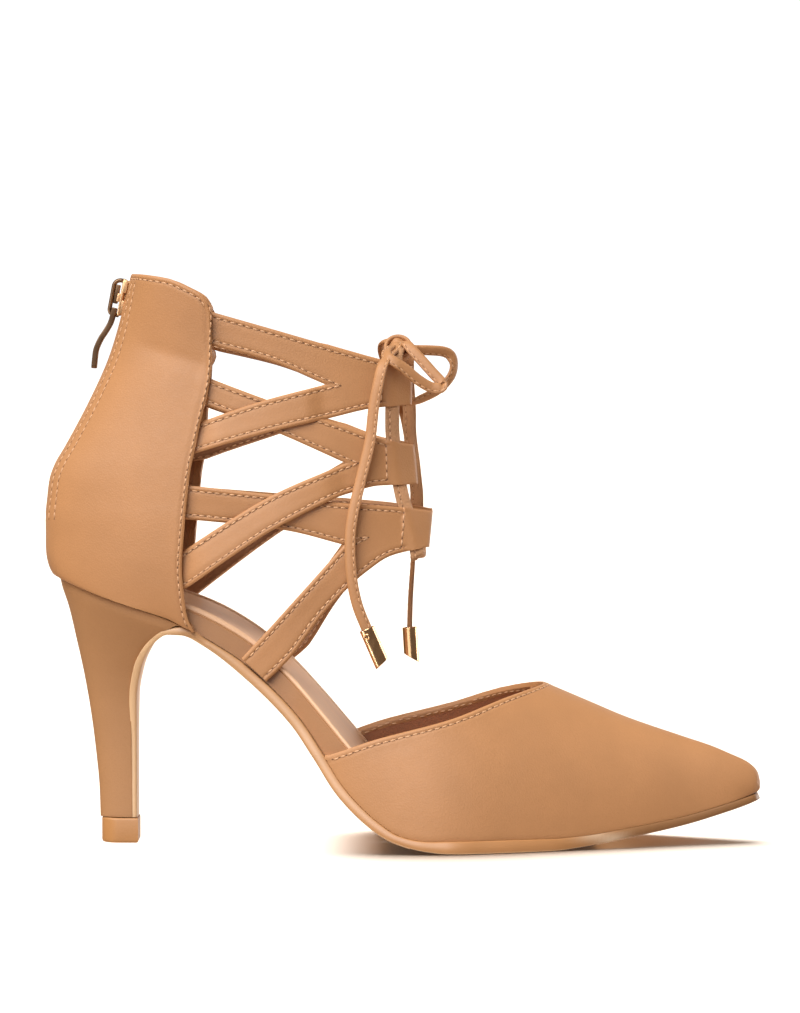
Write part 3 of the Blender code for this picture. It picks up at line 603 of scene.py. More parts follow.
bowSet = {
    "bow_loop_near": {
        "route": (
            (0.2, -1.0, 167.0),
            (0.9, -4.2, 167.0),
            (3.0, -6.4, 164.6),
            (6.2, -7.6, 161.2),
            (9.4, -8.6, 157.6),
            (12.2, -9.4, 154.6),
            (13.4, -10.6, 153.0),
            (12.2, -11.9, 152.4),
            (9.0, -12.2, 152.6),
            (4.7, -13.4, 155.1),
            (0.4, -14.9, 158.7),
            (-2.9, -15.7, 161.0),
            (-5.4, -14.6, 162.6),
            (-5.6, -10.0, 164.6),
            (-3.4, -3.4, 166.2),
        ),
        "flat": (
            (0.0, -0.3, 0.95),
            (0.1, -0.75, 0.6),
            (0.15, -0.95, 0.25),
            (0.1, -0.99, 0.12),
            (0.1, -0.99, 0.12),
            (0.3, -0.9, -0.2),
            (0.8, 0.0, -0.6),
            (0.1, 0.95, -0.3),
            (0.0, 0.99, -0.1),
            (0.0, 0.98, -0.15),
            (0.0, 0.95, -0.3),
            (0.1, 0.85, -0.5),
            (0.3, 0.8, -0.5),
            (0.4, 0.7, -0.6),
            (0.2, 0.3, -0.9),
        ),
        "replaces": "lace_loop_near",
        "far": "object",
        "sewnSide": 1,
    },
    "bow_loop_far": {
        "route": (
            (0.4, 0.6, 166.0),
            (3.1, 2.4, 165.0),
            (8.6, 4.6, 164.8),
            (13.2, 6.6, 164.4),
            (15.8, 8.0, 163.0),
            (16.9, 8.8, 160.0),
            (15.9, 8.6, 156.0),
            (12.3, 7.4, 151.9),
            (7.5, 5.4, 149.2),
            (3.0, 3.2, 147.9),
            (0.6, 1.6, 151.0),
            (-0.6, 0.6, 156.0),
            (-1.4, 0.2, 161.0),
        ),
        "flat": (
            (0.0, -0.8, -0.5),
            (0.0, -0.88, -0.45),
            (0.05, -0.9, -0.4),
            (0.15, -0.9, -0.4),
            (0.5, -0.8, -0.3),
            (0.75, -0.65, -0.2),
            (0.65, -0.7, -0.3),
            (0.45, -0.75, -0.5),
            (0.25, -0.75, -0.6),
            (-0.4, -0.6, -0.6),
            (-0.8, -0.5, -0.2),
            (-0.85, -0.5, 0.0),
            (-0.9, -0.4, 0.0),
        ),
        "replaces": "lace_loop_far",
        "far": "object",
        "sewnSide": 1,
    },
    "bow_end_near": {
        "route": (
            (-2.2, 0.2, 166.8),
            (-2.2, -3.8, 166.9),
            (-2.9, -6.8, 164.8),
            (-4.8, -12.4, 163.2),
            (-7.1, -17.5, 159.6),
            (-8.5, -18.9, 153.8),
            (-9.9, -19.4, 146.4),
            (-11.2, -20.2, 135.0),
            (-13.9, -21.8, 123.4),
            (-16.7, -23.8, 111.2),
            (-17.7, -24.6, 101.9),
            (-17.2, -24.9, 90.6),
            (-15.4, -24.7, 81.4),
            (-12.5, -24.4, 73.8),
            (-11.6, -24.4, 71.6),
        ),
        "flat": (
            (0.0, -0.2, 1.0),
            (-0.1, -0.7, 0.7),
            (-0.3, -0.8, 0.5),
            (-0.4, -0.7, 0.6),
            (-0.3, -0.85, 0.4),
            (-0.2, -0.95, 0.15),
            (-0.15, -0.98, 0.05),
            (-0.15, -0.98, 0.0),
            (-0.15, -0.98, 0.05),
            (-0.1, -0.99, 0.05),
            (-0.1, -0.99, 0.0),
            (-0.05, -1.0, 0.0),
            (-0.05, -1.0, 0.0),
            (-0.05, -1.0, 0.0),
            (-0.05, -1.0, 0.0),
        ),
        "replaces": "lace_end_near",
        "far": "fitting",
        "sewnSide": -1,
    },
    "bow_end_far": {
        "route": (
            (-3.0, 1.0, 166.8),
            (-5.4, 3.6, 168.0),
            (-7.2, 8.0, 166.8),
            (-7.0, 12.6, 163.6),
            (-4.6, 15.6, 158.0),
            (-1.4, 15.8, 149.4),
            (1.0, 15.6, 139.0),
            (2.5, 16.0, 127.4),
            (3.6, 17.2, 114.0),
            (3.7, 18.0, 103.0),
            (3.1, 17.8, 93.4),
            (2.3, 17.4, 81.0),
            (2.0, 17.2, 71.3),
            (2.1, 17.2, 69.2),
        ),
        "flat": (
            (-0.3, 0.0, 0.95),
            (-0.4, 0.1, 0.9),
            (-0.6, 0.3, 0.7),
            (-0.7, 0.6, 0.4),
            (-0.6, 0.8, 0.1),
            (-0.5, 0.85, 0.0),
            (-0.6, 0.8, 0.0),
            (-0.75, 0.65, 0.0),
            (-0.9, 0.45, 0.0),
            (-0.97, 0.1, 0.0),
            (-0.98, -0.12, 0.0),
            (-0.98, -0.2, 0.0),
            (-0.97, -0.22, 0.0),
            (-0.97, -0.22, 0.0),
        ),
        "replaces": "lace_end_far",
        "far": "fitting",
        "sewnSide": 1,
    },
}


def easedRows(rows, step):
    # a rounded curve through the given rows, in even steps along their first three columns
    rows = np.array([tuple(row) for row in rows], float)
    ends = np.vstack([2 * rows[0] - rows[1], rows, 2 * rows[-1] - rows[-2]])
    fine = []
    for a, b, c, d in zip(ends, ends[1:], ends[2:], ends[3:]):
        for t in np.linspace(0, 1, 12, endpoint=False):
            bend = (2 * a - 5 * b + 4 * c - d) * t**2 + (3 * b - a - 3 * c + d) * t**3
            fine.append(0.5 * (2 * b + (c - a) * t + bend))
    fine = np.array(fine + [rows[-1]])
    along = np.concatenate([[0], np.cumsum(np.linalg.norm(np.diff(fine[:, :3], axis=0), axis=1))])
    at = np.linspace(0, along[-1], int(math.ceil(along[-1] / step)) + 1)
    return np.stack([np.interp(at, along, fine[:, k]) for k in range(fine.shape[1])], axis=1)


def throughPoints(points, step):
    return [Vector(row) for row in easedRows(points, step)]


def stripOutline():
    across, high = laceSet["outline"]["across"], laceSet["outline"]["high"]
    return list(zip(across, high)) + [(a, -h) for a, h in reversed(list(zip(across, high)))]


def stripFrames(route, flats):
    # middle, width direction and flat direction of the strip along its route
    flats = [Vector(f) for f in flats]
    count = len(route) - 1
    frames = []
    for i, point in enumerate(route):
        ahead = (route[min(i + 1, count)] - route[max(i - 1, 0)]).normalized()
        share = i / count * (len(flats) - 1)
        low = min(int(share), len(flats) - 2)
        flat = flats[low].lerp(flats[low + 1], share - low)
        flat = (flat - ahead * flat.dot(ahead)).normalized()
        frames.append((point, ahead.cross(flat), flat))
    return frames


def stripSolid(frames, sewnSide, spread=1.0):
    outline = [(a * spread, h) for a, h in stripOutline()]
    return loft([[p + wide * a * -sewnSide + flat * h for a, h in outline] for p, wide, flat in frames])


def sewStrip(rows, bm, frames, sewnSide, trim=2):
    surface = BVHTree.FromBMesh(bm)
    for face in (1, -1):
        across = laceSet["seamAt"] * -sewnSide
        route = [p + wide * across + flat * 0.5 * face for p, wide, flat in frames[trim:-trim]]
        sewRow(rows, surface, route, laceSet["period"], laceSet["seamLift"], 0, laceSet["seamScale"])


laceRows = newRows()


def makeStrip(name, route, flats, sewnSide, replaces, finish="tan", spread=1.0):
    frames = stripFrames(route, flats)
    bm = stripSolid(frames, sewnSide, spread)
    sewStrip(laceRows, bm, frames, sewnSide)
    return finishPiece(bm, name, [finishes[finish]], replaces)


# metal tips of the lace ends
tipSet = {
    "radius": 2.5,
    "wall": 0.32,
    "sides": 36,
    "start": 0.6,  # below the end of the solid's lace
    "aglet_near": {"at": (-12.5, -24.4, 73.8), "along": (0.4, 0.0, -0.917), "length": 13.5, "slant": 0.13},
    "aglet_far": {"at": (2.0, 17.2, 71.3), "along": (0.06, 0.0, -1.0), "length": 11.9, "slant": -0.26},
    "ring": {"down": 2.4, "turn": 112, "radius": 0.85, "thick": 0.26},
}


def torus(centre, normal, radius, thick, sides=20, around=8):
    normal = normal.normalized()
    first = normal.orthogonal().normalized()
    second = normal.cross(first)

    def place(i, j):
        turn, roll = 2 * math.pi * i / sides, 2 * math.pi * j / around
        out = first * math.cos(turn) + second * math.sin(turn)
        return centre + out * (radius + thick * math.cos(roll)) + normal * thick * math.sin(roll)

    bm = gridSheet(sides, around, place)
    weld(bm)
    bmesh.ops.recalc_face_normals(bm, faces=bm.faces)
    return bm


def joinInto(bm, other):
    part = bpy.data.meshes.new("part")
    other.to_mesh(part)
    other.free()
    bm.from_mesh(part)
    bpy.data.meshes.remove(part)


def makeTip(name):
    tip = tipSet[name]
    along = Vector(tip["along"]).normalized()
    start = Vector(tip["at"]) + along * tipSet["start"]
    wide = along.cross(Vector((0, 1, 0))).normalized()
    up = along.cross(wide)
    outer, inner, long = tipSet["radius"], tipSet["radius"] - tipSet["wall"], tip["length"]
    profile = (  # radius, and how far down the tube
        (inner, 1.6),
        (inner, 0.1),
        (inner + 0.08, 0.0),
        (outer - 0.1, 0.0),
        (outer, 0.12),
        (outer, 0.24),
        (outer, long * 0.33),
        (outer, long * 0.59),
        (outer, long - 0.26),
        (outer, long - 0.14),
        (outer - 0.1, long),
        (inner + 0.06, long),
        (inner, long - 0.1),
        (inner, long - 2.6),
        (0.05, long - 2.7),
    )
    sides = tipSet["sides"]

    def place(i, j):
        radius, down = profile[j]
        turn = 2 * math.pi * i / sides
        lean = math.copysign(math.cos(turn), tip["slant"] * math.cos(turn))
        cut = abs(tip["slant"]) * long * (1 + lean) / 2 if down > long * 0.6 else 0
        return start + along * (down - cut) + (wide * math.cos(turn) + up * math.sin(turn)) * radius

    bm = gridSheet(sides, len(profile) - 1, place)
    weld(bm)
    faceOut(bm, lambda centre: (start + along * (centre / mm - start).dot(along)) * mm)
    ring = tipSet["ring"]
    turn = math.radians(ring["turn"])
    out = wide * math.cos(turn) + up * math.sin(turn)
    if name == "aglet_near":
        middle = start + along * ring["down"] + out * (outer + 0.02)
        joinInto(bm, torus(middle, out, ring["radius"], ring["thick"]))
    return finishPiece(bm, f"{name}_tube", [finishes["gold"]], [name], sharp=50)


def makeBow():
    for name, strand in bowSet.items():
        rows = easedRows([tuple(p) + tuple(f) for p, f in zip(strand["route"], strand["flat"])], 0.6)
        route, flats = [Vector(row[:3]) for row in rows], [Vector(row[3:]) for row in rows]
        piece = makeStrip(name, route, flats, strand["sewnSide"], [strand["replaces"]])
        onIt = []
        if strand["far"] == "fitting":
            onIt = [makeTip("aglet_near" if name == "bow_end_near" else "aglet_far")]
    print("bow made")


# the turn of lace that holds the bow: a ring round the strands, and what shows inside it
knotSet = {
    "middle": (-1.9, -1.2, 165.4),
    "radius": 4.1,
    "lean": 32.0,
    "steps": 56,
    "core": (3.7, 3.0, 3.7),
    "coreShift": (0.0, 1.8, 0.0),
}


def makeKnot():
    middle, lean = Vector(knotSet["middle"]), math.radians(knotSet["lean"])
    up = Vector((0, math.sin(lean), math.cos(lean)))
    axis = Vector((0, math.cos(lean), -math.sin(lean)))
    frames = []
    for i in range(knotSet["steps"] + 1):
        turn = 2 * math.pi * i / knotSet["steps"]
        out = Vector((1, 0, 0)) * math.cos(turn) + up * math.sin(turn)
        frames.append((middle + out * knotSet["radius"], axis, out))
    bm = stripSolid(frames[:-1] + frames[:1], 1)
    sewStrip(laceRows, bm, frames, 1, 3)
    core = bmesh.new()
    bmesh.ops.create_uvsphere(core, u_segments=24, v_segments=14, radius=1)
    for vert in core.verts:  # creased filling, the strands pulled tight inside the turn
        fold = 1 + 0.06 * math.sin(5 * vert.co.x + 3 * vert.co.z)
        size = Vector([a * b for a, b in zip(vert.co, knotSet["core"])])
        vert.co = (middle + size * fold + Vector(knotSet["coreShift"])) * mm
    joinInto(bm, core)
    finishPiece(bm, "bow_knot", [finishes["tan"]], ["lace_knot"])


makeBow()
makeKnot()


# the sole
soleSet = {
    "ease": 0.7,
    "rim": 0.35,
    "steps": 210,
    "waistRow": 18,  # the first row of the part that turns down the heel's breast
    "rows": columns(
        "x z lateral medial thick",
        (119.9, 14.3, -0.6, 2.4, 2.0),
        (118.6, 13.7, 1.4, 4.4, 2.2),
        (115.0, 12.4, 3.4, 6.6, 2.5),
        (109.0, 10.6, 5.9, 9.1, 2.7),
        (93.0, 6.5, 11.7, 15.6, 2.9),
        (71.0, 2.7, 20.3, 25.0, 3.3),
        (60.0, 1.0, 24.4, 29.2, 3.7),
        (48.0, 0.0, 28.8, 33.4, 4.2),
        (27.0, 0.0, 35.2, 37.8, 4.4),
        (14.0, 0.2, 38.0, 38.0, 4.2),
        (6.0, 1.1, 38.0, 36.8, 3.4),
        (-3.0, 3.6, 37.0, 34.6, 2.9),
        (-9.0, 6.8, 35.6, 32.6, 3.2),
        (-21.6, 18.4, 31.4, 28.2, 3.4),
        (-30.0, 31.0, 28.0, 25.5, 3.4),
        (-37.4, 41.6, 24.8, 23.4, 3.4),
        (-53.6, 57.6, 22.2, 22.0, 3.4),
        (-66.1, 67.2, 22.0, 22.0, 2.4),
        (-73.7, 70.9, 23.2, 23.2, 2.8),
        (-78.0, 71.0, 22.2, 22.2, 2.0),
        (-82.2, 68.4, 19.0, 19.0, 1.7),
        (-85.2, 64.4, 16.4, 16.4, 2.1),
        (-87.6, 58.6, 12.6, 12.6, 2.4),
        (-89.1, 49.0, 8.4, 8.4, 2.5),
        (-89.2, 32.8, 6.0, 6.0, 2.5),
        (-89.2, 8.6, 5.4, 5.4, 2.5),
    ),
    # where the underside is dark: a guessed tread, and painted shade for the floor's contact shadow
    "tread_and_shade": (-14.0, 64.0),  # from the waist to the ball's front
    "slopeStep": 0.3,
    "smear": {"x": 66.0, "long": 6.5, "z": 3.6, "tall": 1.3},  # pale glue rubbed along the lateral edge
}
soleRows = soleSet["rows"]
soleSteps = np.hypot(np.diff(soleRows["x"]), np.diff(soleRows["z"]))
soleReach = [0.0] + [float(s) for s in np.cumsum(soleSteps)]
solePath = {name: smoothLine(soleReach, values) for name, values in soleRows.items()}
lateralEdge = smoothLine(soleRows["x"][: soleSet["waistRow"]], soleRows["lateral"][: soleSet["waistRow"]])
medialEdge = smoothLine(soleRows["x"][: soleSet["waistRow"]], soleRows["medial"][: soleSet["waistRow"]])
seatRows = columns(
    "x z", (-115.8, 89.0), (-101.5, 83.9), (-92.0, 80.7), (-83.0, 77.9), (-77.5, 76.0), (-73.5, 73.9)
)


def soleFrame(s):
    before, after = s - soleSet["slopeStep"], s + soleSet["slopeStep"]
    along = Vector([solePath[key](after) - solePath[key](before) for key in ("x", "z")])
    along.normalize()
    return (solePath["x"](s), solePath["z"](s)), (along.y, -along.x)


def bedLine():
    # height of what carries the upper: the sole's top face, then the heel seat
    places, heights = list(seatRows["x"]), list(seatRows["z"])
    for s in np.linspace(0, soleReach[soleSet["waistRow"] - 1], 60):
        (x, z), (upX, upZ) = soleFrame(float(s))
        places.append(x + upX * solePath["thick"](s))
        heights.append(z + upZ * solePath["thick"](s))
    return smoothLine(places, heights)


bed = bedLine()
gap = 0.3  # between pieces that touch


def makeSole():
    rings = []
    for s in sorted(set(np.linspace(0, soleReach[-1], soleSet["steps"])) | set(soleReach)):
        (x, z), (upX, upZ) = soleFrame(float(s))
        thick, low, high = solePath["thick"](s), -solePath["lateral"](s), solePath["medial"](s)
        ease = min(soleSet["ease"], (high - low) / 4, thick / 2.5)
        rim = min(soleSet["rim"], thick / 4)
        half = [
            (high - ease, 0),
            (high - ease * 0.3, ease * 0.35),
            (high, ease),
            (high, thick - rim),
            (high - rim, thick),
        ]
        other = [(low + high - y, h) for y, h in reversed(half)]
        rings.append([(x + upX * h, y, z + upZ * h) for y, h in half + other])
    bm = loft(rings)
    painted_bounce_light = bm.verts.layers.float.new("painted_bounce_light")
    smear = bm.verts.layers.float.new("smear")
    toe_painted_shade = bm.verts.layers.float.new("toe_painted_shade")
    rub = soleSet["smear"]
    bm.normal_update()
    # masks: painted highlight on bevels facing the floor, across the arch and on the heel flap; painted shade
    # growing towards the toe; a rubbed smear of glue
    for vert in bm.verts:
        x, y, z = vert.co / mm
        under = -vert.normal.z if x > -70 else vert.normal.x
        vert[painted_bounce_light] = min(max(under * 1.6 - 0.25, 0), 1) * (1 if abs(vert.normal.y) > 0.25 else 0.35)
        vert[toe_painted_shade] = easeIn(x, 40, 85)
        vert[painted_bounce_light] *= 1 - vert[toe_painted_shade]
        vert[painted_bounce_light] = max(vert[painted_bounce_light], 0.25 * easeIn(-x, 0, 30), 0.9 * easeIn(-x, 66, 84))
        if y < 0:
            vert[smear] = hump(x, rub["x"], rub["long"]) * hump(z, rub["z"], rub["tall"])
    back, front = soleSet["tread_and_shade"]
    for face in bm.faces:  # dark underside under the ball: a guessed tread, and painted shade for the floor's contact shadow
        tread_shade_zone = back < face.calc_center_median().x / mm < front
        face.material_index = 1 if tread_shade_zone and face.normal.z < -0.85 else 0
    looks = [finishes["sole"], finishes["tread_and_shade"]]
    finishPiece(bm, "outsole_piece", looks, ["outsole"], sharp=50)


# the heel
heelSet = {
    "breastLap": 1.2,  # closes the solids' gap to the sole's flap
    "sides": 56,
    "steps": 90,
    "rows": columns(
        "backX backZ breastX breastZ half",
        (-101.9, 8.6, -92.1, 8.6, 5.6),
        (-102.2, 18.0, -92.1, 18.0, 5.7),
        (-103.5, 32.0, -92.2, 32.0, 6.2),
        (-105.2, 45.0, -92.3, 45.0, 7.3),
        (-107.3, 57.0, -91.6, 55.0, 9.6),
        (-109.9, 69.0, -89.3, 63.0, 13.6),
        (-112.2, 79.0, -84.4, 69.8, 18.8),
        (-114.5, 86.0, -78.4, 72.9, 22.6),
        (-115.4, 88.8, -73.4, 73.8, 23.8),
    ),
    "edge": 0.35,
    "tip": {
        "back": -101.4,
        "front": -88.9,
        "half": 6.0,
        "sides": 40,
        "profile": columns(
            "z inset", (0, 0.6), (0.12, 0.28), (0.5, 0.06), (0.9, 0), (7.6, 0), (8.1, 0.08), (8.3, 0.3)
        ),
    },
}


def makeHeel():
    rows = heelSet["rows"]
    last = len(rows["half"]) - 1
    line = {name: smoothLine(range(last + 1), values) for name, values in rows.items()}
    rings = []
    for step in range(heelSet["steps"] + 1):
        row = last * step / heelSet["steps"]
        back = Vector((line["backX"](row), line["backZ"](row)))
        breast = Vector((line["breastX"](row) + heelSet["breastLap"], line["breastZ"](row)))
        seated = easeIn(row, last - 1.2, last)
        ring = []
        for i in range(heelSet["sides"] + 1):
            turn = math.pi * (i / heelSet["sides"] - 0.5)
            share = 1 - math.cos(turn) ** 0.9
            y = line["half"](row) * math.copysign(abs(math.sin(turn)) ** 0.9, turn)
            x, z = back.lerp(breast, share)
            ring.append((x, y, z + (min(bed(x), z + 3) - z) * seated))
        rings.append(ring)
    piece = finishPiece(loft(rings), "heel_wrap", [finishes["heel"]], ["heel"])
    addBevel(piece, heelSet["edge"], 3, 40)


def makeHeelTip():
    tip = heelSet["tip"]
    rings = []
    for z, inset in zip(*tip["profile"].values()):
        reach = tip["half"] - inset
        ring = [(tip["front"] - inset, reach, z), (tip["front"] - inset, -reach, z)]
        for i in range(tip["sides"] + 1):
            turn = math.pi * i / tip["sides"]
            ring.append((tip["back"] + tip["half"] - reach * math.sin(turn), -reach * math.cos(turn), z))
        rings.append(ring)
    finishPiece(loft(rings), "heel_tip_piece", [finishes["tip"]], ["heel_tip"], sharp=45)


# the footbed: a leather-wrapped wall with a sock laid into its top
insoleSet = {
    "rows": columns(
        "x top inset rise",
        (-113.2, 92.4, 21.4, 0.0),
        (-112.4, 92.3, 15.0, 0.0),
        (-110.0, 91.9, 10.8, 0.0),
        (-105.0, 91.0, 6.4, 0.0),
        (-98.0, 89.6, 3.2, 0.0),
        (-88.0, 87.0, 1.3, 0.2),
        (-71.4, 81.4, 0.8, 1.0),
        (-61.6, 76.9, 1.1, 1.5),
        (-48.3, 68.3, 2.3, 2.1),
        (-37.5, 58.0, 3.2, 2.5),
        (-26.6, 45.7, 3.7, 2.6),
        (-17.2, 34.5, 3.7, 2.4),
        (-8.0, 24.0, 3.6, 1.8),
        (2.0, 15.2, 3.2, 0.9),
        (14.0, 9.8, 2.9, 0.2),
        (28.0, 8.0, 2.8, 0.0),
        (50.0, 8.0, 2.8, 0.0),
        (75.0, 9.8, 2.8, 0.0),
        (95.0, 13.2, 2.8, 0.0),
        (109.0, 16.6, 2.8, 0.0),
    ),
    "round": 1.1,
    "lip": 1.75,  # how far down the lip's painted highlight reaches, in rounds
    "border": 2.3,  # from the wall to the sock
    "sunk": 0.75,
    "dish": 0.35,
    "steps": 170,
    "sockAcross": 28,
    "sockThick": 0.5,
}
insoleLine = curvesOf(insoleSet["rows"])


def insoleEdges(x):
    inset = insoleLine["inset"](x)
    return -lateralEdge(x) + inset, medialEdge(x) - inset


def insolePlaces():
    rows = insoleSet["rows"]["x"]
    return [float(x) for x in sorted(set(np.linspace(rows[0], rows[-1], insoleSet["steps"])) | set(rows))]


def makeInsole():
    rings = []
    for x in insolePlaces():
        left, right = insoleEdges(x)
        low, top, rise = bed(x) + gap, insoleLine["top"](x), insoleLine["rise"](x)
        curve = min(insoleSet["round"], (right - left) / 5, (top - low) / 3)
        border = min(insoleSet["border"], (right - left) / 3.2)

        def lip(side):
            edge = right if side > 0 else left
            high = top + (rise if side > 0 else 0)
            arc = [
                (edge, low + 0.3),
                (edge, high - 2.8 * curve),
                (edge, high - 2.4 * curve),
                (edge - side * 0.42, high - 1.95 * curve),
                (edge - side * 0.03, high - 1.5 * curve),
            ]
            for i in range(6):
                turn = math.pi / 2 * i / 5
                arc.append((edge - side * curve * (1 - math.cos(turn)), high - curve * (1 - math.sin(turn))))
            arc.append((edge - side * (border - 0.7), high - 0.06))
            arc.append((edge - side * border, high - 0.4))
            arc.append((edge - side * (border + 0.5), high - insoleSet["sunk"] - 0.3))
            return arc

        section = [(left, low), (right, low)] + lip(1) + list(reversed(lip(-1)))
        rings.append([(x, y, z) for y, z in section])
    bm = loft(rings)
    bm.normal_update()
    for face in bm.faces:  # the lip gets a paler copy of the leather, a painted highlight on the ridge's top
        x, y, z = face.calc_center_median() / mm
        left, right = insoleEdges(x)
        high = insoleLine["top"](x) + insoleLine["rise"](x) * (y - left) / max(right - left, 1)
        face.material_index = 1 if z > high - insoleSet["lip"] * insoleSet["round"] else 0
    # the wall's darker copy is painted shade, the lip's paler copy a painted highlight
    looks = [finishes["wall"], finishes["lip"]]
    piece = finishPiece(bm, "insole_wrap", looks, ["insole"], sharp=32)


def makeSock():
    places = [x for x in insolePlaces() if x > insoleSet["rows"]["x"][1]]
    across = insoleSet["sockAcross"]

    def place(i, j):
        x = places[j]
        left, right = insoleEdges(x)
        border = min(insoleSet["border"] + 0.1, (right - left) / 3.1)
        share = 0.5 - 0.5 * math.cos(math.pi * i / across)
        y = left + border + (right - left - 2 * border) * share
        tilt = insoleLine["rise"](x) * (y - left) / (right - left)
        bowl = insoleSet["dish"] * (1 - (2 * share - 1) ** 2)
        rolled = 0.22 * max(1 - abs(2 * share - 1) ** 12, 0)
        return x, y, insoleLine["top"](x) + tilt - insoleSet["sunk"] + rolled - bowl * easeIn(x, -112, -95)

    bm = gridSheet(across, len(places) - 1, place)
    faceOut(bm, lambda centre: centre - Vector((0, 0, 1)))
    piece = finishPiece(bm, "sock_lining", [finishes["sock"]])
    addWall(piece, insoleSet["sockThick"])


makeSole()
makeHeel()
makeHeelTip()
makeInsole()
makeSock()
print("sole, heel and footbed made")


# the vamp
vampSet = {
    "wall": 1.8,
    "roundness": 2.2,
    "ledge": 0.5,
    "tip": 119.9,
    "noseTuck": 1.1,
    "seat": 0.08,  # above the sole
    "turnedIn": 0.985,  # share of the way to the middle that the lasted edge goes under the footbed
    "turnedSteps": 4,
    "edge": 0.3,
    "crowd": 1.6,  # rows draw together towards the tip
    "seamStep": 0.08,
    "across": 132,
    "band": 2.3,  # turned-in edge that shows on the inside
    "ridge": columns(
        "x z",
        (119.9, 20.0),
        (119.2, 22.8),
        (118.0, 24.6),
        (115.2, 26.8),
        (110.0, 29.2),
        (103.6, 31.9),
        (93.7, 35.2),
        (75.0, 41.6),
        (61.7, 47.2),
        (47.0, 53.4),
        (35.0, 58.2),
        (20.0, 64.4),
        (0.0, 73.0),
        (-30.0, 88.0),
    ),
    "topline": columns(
        "x z",
        (-30.0, 30.6),
        (-25.2, 31.9),
        (-8.9, 37.6),
        (16.1, 44.1),
        (35.2, 50.6),
        (47.0, 53.4),
        (60.0, 55.0),
    ),
    "nearEdge": (0, 0.5, 1.0, 1.5, 2.0, 2.5, 3.0, 3.5, 4.0, 4.6, 5.4, 6.6, 8.2, 10.2),
    "along": 70,
}
ridgeLine = curveOf(vampSet["ridge"])
topLine = curveOf(vampSet["topline"])


def eased(edge, x):
    # the edge's line evened out, so the side has no corner at the ball
    reach = 11 * easeIn(vampSet["tip"] - x, 20, 50)
    return sum(edge(x + reach * d / 6) for d in range(-6, 7)) / 13


def vampPoint(turn, x):
    lateral, medial = eased(lateralEdge, x), eased(medialEdge, x)
    middle = (medial - lateral) / 2
    half = (medial + lateral) / 2 - vampSet["ledge"] if x < vampSet["tip"] else 0
    foot = bed(x) + vampSet["seat"]
    power = 2 / vampSet["roundness"]
    across, rise = math.cos(turn), max(math.sin(turn), 0)
    y = middle - half * math.copysign(abs(across) ** power, across)
    low = max(1 - 2.2 * rise, 0) ** 2
    under = vampSet["noseTuck"] * easeIn(x, 108, vampSet["tip"]) * low  # the nose rounds in above the sole
    return Vector((x - under, y, foot + (ridgeLine(x) - foot) * rise**power))


def throatX(turn):
    behind, ahead = vampSet["topline"]["x"][0], vampSet["topline"]["x"][-1]
    for _ in range(30):
        x = (behind + ahead) / 2
        if vampPoint(turn, x)[2] > topLine(x):
            behind = x
        else:
            ahead = x
    return ahead


def markBand(bm, tree, band):
    # faces by the edge stay tan on the inside too
    for face in bm.faces:
        face.material_index = 1 if tree.find(face.calc_center_median())[2] < band * mm else 0


def makeVamp():
    across, near = vampSet["across"], vampSet["nearEdge"]
    turns = [math.pi * i / across for i in range(across + 1)]
    throat = [throatX(turn) for turn in turns]
    rest, turned = vampSet["along"], vampSet["turnedSteps"]

    def place(i, j):
        column = min(max(i - turned, 0), across)
        start = throat[column]
        if j < len(near):
            x = start + near[j]
        else:
            share = (j - len(near) + 1) / rest
            start += near[-1]
            x = start + (vampSet["tip"] - start) * (1 - (1 - share) ** vampSet["crowd"])
        point = vampPoint(turns[column], x)
        beyond = i - turned - column
        middle = (medialEdge(x) - lateralEdge(x)) / 2
        inward = abs(point.y - middle) * vampSet["turnedIn"] * abs(beyond) / turned
        point.y += math.copysign(inward, middle - point.y)
        return point

    bm = gridSheet(across + 2 * turned, len(near) - 1 + rest, place)
    weld(bm)
    faceOut(bm, lambda centre: Vector((centre.x, 0, bed(centre.x / mm) * mm + 0.004)))
    edge = resample([vampPoint(turn, x) for turn, x in zip(turns, throat)], 0.25)
    tree = pressRelief(bm, edge)
    markBand(bm, tree, vampSet["band"])
    surface = BVHTree.FromBMesh(bm)
    rows = newRows()
    seam = []
    for i in range(2, across - 1):  # the row keeps its distance from the topline
        x, away = throat[i], 0
        while away < seamSet["from edge"] * mm and x < vampSet["tip"]:
            x += vampSet["seamStep"]
            away = tree.find(vampPoint(turns[i], x) * mm)[2]
        seam.append(vampPoint(turns[i], x))
    sewRow(rows, surface, seam)
    sewRow(rows, surface, seam, inside=vampSet["wall"] - 0.12)
    leatherShell(bm, "vamp_leather", "vamp", "lining", vampSet["wall"], vampSet["edge"])
    sewn(rows, "vamp_stitches")


makeVamp()
print("vamp made")


# the ankle: the counter's outer face, and the straps' ahead of it
ankleSet = {
    "heelRound": 2.25,
    "rows": columns(
        "z back wideX half reach",
        (55.0, -117.0, -50.0, 25.4, 150.0),
        (62.0, -117.8, -52.0, 25.6, 135.0),
        (75.0, -118.9, -55.0, 26.4, 102.0),
        (90.0, -119.8, -58.0, 28.2, 86.0),
        (98.0, -119.9, -59.0, 28.8, 80.5),
        (108.4, -119.9, -60.0, 29.0, 76.5),
        (116.4, -119.2, -61.0, 28.6, 74.6),
        (121.8, -118.5, -61.5, 28.3, 73.8),
        (127.1, -116.6, -62.0, 27.9, 73.2),
        (132.5, -113.4, -62.0, 27.4, 72.8),
        (148.6, -104.8, -62.0, 25.5, 72.6),
        (162.0, -98.7, -62.0, 24.4, 72.2),
        (172.7, -95.3, -62.0, 24.1, 72.0),
        (191.0, -90.7, -62.0, 24.4, 72.0),
    ),
}
ankleLine = curvesOf(ankleSet["rows"])


